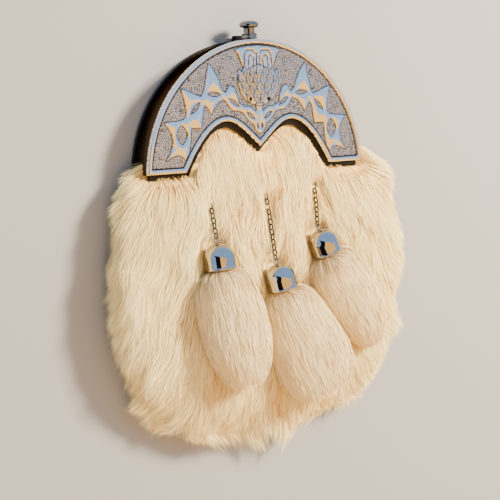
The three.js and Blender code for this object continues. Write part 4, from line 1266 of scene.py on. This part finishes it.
# %% Hide under the hair
def hide(form, low, high, rings, sides, shrink, press_down=None):
    """A sheet over a form, or the whole of it, a little smaller than the form."""
    y = np.linspace(high, low, rings)
    angle = np.linspace(0, 2 * math.pi, sides, endpoint=False)
    if press_down:
        angle = np.linspace(-0.5, math.pi + 0.5, sides)
    yy, aa = (g.ravel() for g in np.meshgrid(y, angle, indexing="ij"))
    points = form.point(yy, aa)
    _, away = form.near(points)
    points = points - away * shrink
    if press_down:
        pressed = press_down(points)
        points = pressed - (0, 0, 1) * np.minimum(1.0, 2 * (points - pressed)[:, 2:])
    around = sides - 1 if press_down else sides
    i, j = (g.ravel() for g in np.meshgrid(range(rings - 1), range(around), indexing="ij"))
    k = (j + 1) % sides
    corners = np.stack([i * sides + j, i * sides + k, (i + 1) * sides + k, (i + 1) * sides + j], 1)
    return points, corners


points, corners = hide(pelt, FUR_LOW, FUR_HIGH, 112, 92, 1.8, press)
skin = mesh_of("skin", placed(points), corners.ravel(), np.full(len(corners), 4))
edit(skin)
bpy.ops.mesh.normals_make_consistent(inside=False)
done()
inward = -1 if skin.data.polygons[0].normal.z > 0 else 1
modify(skin, "SOLIDIFY", thickness=0.9 * MM, offset=inward)
# The hide takes the darker colour of hair near its root, which is partly painted shade.
as_fur(skin, 0.3, 0.35)
finish(skin, "pelt_hide", body_fur, "body_fur", "fur_front")


# %% [markdown]
# Hairs start all over the hide. Each has its own length, lift and tone, and the broad swells give
# neighbours nearly the same. Two sizes of lock gather them.


# %% Hairs of the pelt
PELT_ROOT = 1.3  # how deep under the form a hair starts


def pelt_roots(many, rng):
    """Places for roots, denser where the pelt is wide."""
    y = rng.uniform(FUR_LOW, FUR_HIGH - 0.5, many * 2)
    angle = rng.uniform(-0.95, math.pi + 0.95, many * 2)
    points = pelt.point(y, angle)
    wide = pelt.sizes(y)[0]
    kept = rng.uniform(0, 1, many * 2) < (wide + 30) / 128
    return points[kept][:many]


def pelt_hairs(roots, rng, spread=1.0):
    """Hairs of the pelt from these roots: a larger spread makes them less alike."""
    x, y, z = roots.T
    many = len(roots)
    wide, top, base = pelt.sizes(y)
    low_down = smooth(1 - (z - base) / (top - base) * 1.4)
    rim = smooth((np.abs(x - pelt.swing(y)) / wide - 0.86) / 0.14) * low_down
    bottom = smooth((-124 - y) / 18) * low_down
    free = np.clip(np.maximum(rim, bottom), 0, 1) * rng.uniform(0.1, 1.0, many) ** 1.3
    swell = waves(x, y, 34, 11) + 0.5 * waves(x, y, 15, 12)
    stray = (rng.uniform(0, 1, many) < 0.1) * spread
    length = NAP * rng.uniform(0.6, 1.1, many) * (1 + 0.15 * swell)
    length = length * (1 - (0.45 + 0.22 * bottom) * free)
    lift = 3.0 + 1.8 * swell + spread * rng.normal(0, 0.6, many) + 1.6 * stray
    lift = np.maximum(lift * (1 - 0.3 * rim), 0.3)
    drift = rng.normal(0, 0.14 * spread, (many, 3)) * (1, 0.4, 0.5) * (1 + 1.4 * stray)[:, None]

    def flow(p):
        return unit(pelt_flow(p) + drift)

    starts = roots - pelt.near(roots)[1] * PELT_ROOT
    return lay(pelt, starts, flow, length, lift, free, PELT_STEPS, press)


PELT_STEPS = 4
LOCKS, BROAD_LOCKS, HAIRS = 9000, 700, 74000
rng = np.random.default_rng(21)
locks = pelt_hairs(pelt_roots(LOCKS, rng), rng, 1.2)
broad = pelt_hairs(pelt_roots(BROAD_LOCKS, rng), rng, 1.6)
roots = pelt_roots(HAIRS, rng)
hairs = pelt_hairs(roots, rng)
hairs = gather(hairs, locks, 0.36, 1.4)
hairs = gather(hairs, broad, 0.3, 1.6)
hairs = press(hairs.reshape(-1, 3)).reshape(hairs.shape)
away = pelt.near(roots)[1]
tone_of = 0.55 + 0.2 * waves(roots[:, 0], roots[:, 1], 30, 31) + rng.normal(0, 0.16, len(roots))
tone_of = np.clip(tone_of, 0, 1)
width = rng.uniform(0.18, 0.32, len(roots))
cuts = np.quantile(roots[:, 0], [0, 0.25, 0.5, 0.75, 1])
names = ("fur_far_left", "fur_left", "fur_right", "fur_far_right")
for name, low, high in zip(names, cuts, cuts[1:]):
    which = (roots[:, 0] >= low) & (roots[:, 0] < high)
    piece = ribbons(name, hairs[which], away[which], width[which], tone_of[which], rng)
    finish(piece, name, body_fur, "body_fur")

# %% [markdown]
# ## The fur tassels
# A tassel is a strip of fur rolled round a core and crimped in its bell. The hair starts inside the
# bell, spreads over the shoulder, and runs down to a soft rounded end. It is shorter than the
# pelt's. The core is a closed body under it.


# %% Core of a tassel
def tassel_core(t):
    points, corners = hide(forms[t.name], -t.length + 0.6, RIM_Y + 5, 70, 56, 1.0)
    core = mesh_of("core", placed(t.out(points)), corners.ravel(), np.full(len(corners), 4))
    edit(core)
    bpy.ops.mesh.select_all(action="DESELECT")
    bpy.ops.mesh.select_mode(type="EDGE")
    bpy.ops.mesh.select_non_manifold()
    bpy.ops.mesh.edge_face_add()
    bpy.ops.mesh.select_all(action="SELECT")
    bpy.ops.mesh.normals_make_consistent(inside=False)
    done()
    as_fur(core, 0.3, 0.3)
    finish(core, f"{t.name}_tassel_core", tassel_fur, "tassel_fur", f"tassel_{t.name}")


# %% [markdown]
# The hair follows the tassel's bend, with slow swells of its own. Hairs that start inside the bell
# are drawn in, so that none comes through its wall.

# %% Hairs of a tassel
TASSEL_NAP, TASSEL_ROOT, TASSEL_STEPS = 15, 0.8, 3
TASSEL_LOCKS, TASSEL_BROAD, TASSEL_HAIRS = 2600, 200, 18000
BELL_ROOM = 7.2


def tassel_roots(t, rng, many):
    y = RIM_Y + 1.5 - (t.length + RIM_Y - 2.5) * rng.uniform(0, 1, many) ** 0.9
    return forms[t.name].point(y, rng.uniform(0, 2 * math.pi, many))


def tassel_hairs(t, number, rng, roots, spread):
    x, y, z = roots.T
    many = len(roots)
    end = smooth((-t.length + 16 - y) / 14)
    swell = waves(x + 50 * z, y, 24, 61 + number)
    drift = rng.normal(0, 0.07 * spread, (many, 3)) * (1, 0, 1)

    def flow(p):
        sway = 0.12 * waves(p[:, 0], p[:, 1] + p[:, 2], 28, 71 + number)
        side = t.bend / (t.length + RIM_Y) + sway
        return unit(np.stack([side, np.full(len(p), -1.0), 0.06 * sway], 1) + drift)

    length = TASSEL_NAP * rng.uniform(0.65, 1.15, many) * (1 - 0.45 * end)
    lift = np.clip(0.9 + 0.5 * swell + spread * rng.normal(0, 0.3, many), 0.1, 3)
    free = 0.35 * end * rng.uniform(0, 1, many)
    form = forms[t.name]
    starts = roots - form.near(roots)[1] * TASSEL_ROOT
    return lay(form, starts, flow, length, lift, free, TASSEL_STEPS)


def into_bell(hairs):
    """Draws in what lies in the bell and would touch its wall."""
    far = np.hypot(hairs[..., 0], hairs[..., 2])
    inner = (hairs[..., 1] > RIM_Y - 0.2) & (far > BELL_ROOM)
    squeeze = np.where(inner, BELL_ROOM / np.maximum(far, 1e-6), 1)
    return hairs * np.stack([squeeze, np.ones_like(squeeze), squeeze], -1)


# %% Three tassels
for number, t in enumerate(tassels):
    tassel_core(t)
    rng = np.random.default_rng(100 + number)
    roots = tassel_roots(t, rng, TASSEL_HAIRS)
    hairs = tassel_hairs(t, number, rng, roots, 1.0)
    guides = tassel_hairs(t, number, rng, tassel_roots(t, rng, TASSEL_LOCKS), 1.2)
    hairs = gather(hairs, guides, 0.3, 1.3)
    guides = tassel_hairs(t, number, rng, tassel_roots(t, rng, TASSEL_BROAD), 1.4)
    hairs = into_bell(gather(hairs, guides, 0.16, 1.5))
    tone_of = 0.55 + 0.15 * waves(roots[:, 0], roots[:, 1], 18, 81)
    tone_of = np.clip(tone_of + rng.normal(0, 0.17, len(roots)), 0, 1)
    away = forms[t.name].near(roots)[1] @ t.turn.T
    width = rng.uniform(0.2, 0.34, len(roots))
    there = t.out(hairs.reshape(-1, 3)).reshape(hairs.shape)
    piece = ribbons("hairs", there, away, width, tone_of, rng)
    finish(piece, f"{t.name}_tassel_fur", tassel_fur, "tassel_fur")

# %% [markdown]
# ## Floor, light and camera
# The sporran lies on its back on a pale floor. A warm key light comes from the right, above and
# the front. The surroundings are a cool open sky over a line shaped like a V, and below that line
# bands of dark and gold between more of the sky.
# Polished metal shows little but its surroundings, so those three tints do most of its work.

# %% Floor
bpy.ops.object.select_all(action="DESELECT")
bpy.ops.mesh.primitive_plane_add(size=8)
floor = bpy.context.active_object
floor.name = "floor"
pale = material("Pale floor", Roughness=0.9, Base_Color=(0.3, 0.285, 0.265, 1))[0]
floor.data.materials.append(pale)

# %% Surroundings
SKY, DARK, GOLD = (0.55, 0.88, 1.4), (0.015, 0.015, 0.02), (2.3, 1.25, 0.34)
world = bpy.data.worlds.new("Surroundings")
bpy.context.scene.world = world
world.use_nodes = True
air = world.node_tree
background = air.nodes["Background"]
way_out = node(air, "SeparateXYZ", {0: node(air, "TexCoord").outputs["Generated"]})
from_side = node(air, "Math", {0: way_out.outputs["X"], 1: 0.5}, operation="SUBTRACT")
aside = node(air, "Math", {0: from_side.outputs[0]}, operation="ABSOLUTE")
vee = node(air, "Math", {0: aside.outputs[0], 1: 0.35, 2: -0.03}, operation="MULTIPLY_ADD")
over = node(air, "Math", {0: way_out.outputs["Y"], 1: vee.outputs[0]}, operation="SUBTRACT")
open_sky = node(air, "MapRange", {"Value": over.outputs[0], "From Min": -0.025, "From Max": 0.025})
bands = ramp(
    air,
    node(air, "MapRange", {"Value": way_out.outputs["X"], "From Min": -1.0}).outputs["Result"],
    [(0.05, SKY), (0.07, DARK), (0.25, DARK), (0.27, GOLD), (0.85, GOLD), (0.88, SKY)],
)
feed(air, background, Color=mix(air, open_sky.outputs["Result"], bands, SKY))
background.inputs["Strength"].default_value = 1.05


# %% Lamps
LAMPS_AIM = Vector((0, 0, 0.02))


def lamp(name, location, size, power, colour):
    """A square lamp over the front, which polished metal doesn't mirror."""
    data = bpy.data.lights.new(name, "AREA")
    data.size, data.energy, data.color = size, power, colour
    o = linked(bpy.data.objects.new(name, data))
    o.location = location
    o.rotation_euler = (LAMPS_AIM - Vector(location)).to_track_quat("-Z", "Y").to_euler()
    o.visible_glossy = False


lamp("key", (0.85, 0.6, 0.95), 0.3, 100, (1.0, 0.91, 0.74))
lamp("fill", (-0.8, -0.5, 1.1), 1.2, 12, (1.0, 0.9, 0.76))

# %% [markdown]
# The camera looks down on the front from the left. Its three axes were worked out from the cantle's
# arc, its legs and its arches. Its place is measured from the arc's centre on the plate's front.

# %% Camera
CAMERA_AT = (-409.6, 38.96, 532.95)
camera_data = bpy.data.cameras.new("camera")
camera_data.lens, camera_data.sensor_width = 86.4, 36.0
camera = linked(bpy.data.objects.new("camera", camera_data))
right = Vector((0.7968, -0.0364, 0.6031))
up = Vector((0.1014, 0.9921, -0.0741))
back = Vector((-0.5957, 0.1201, 0.7942))
axes = Matrix((right, up, back)).transposed()
stand = placed(np.add(CAMERA_AT, (0, 0, FRONT)))
camera.matrix_world = Matrix.Translation(stand) @ axes.to_4x4()
bpy.context.scene.camera = camera

# %% The end
bpy.context.view_layer.update()
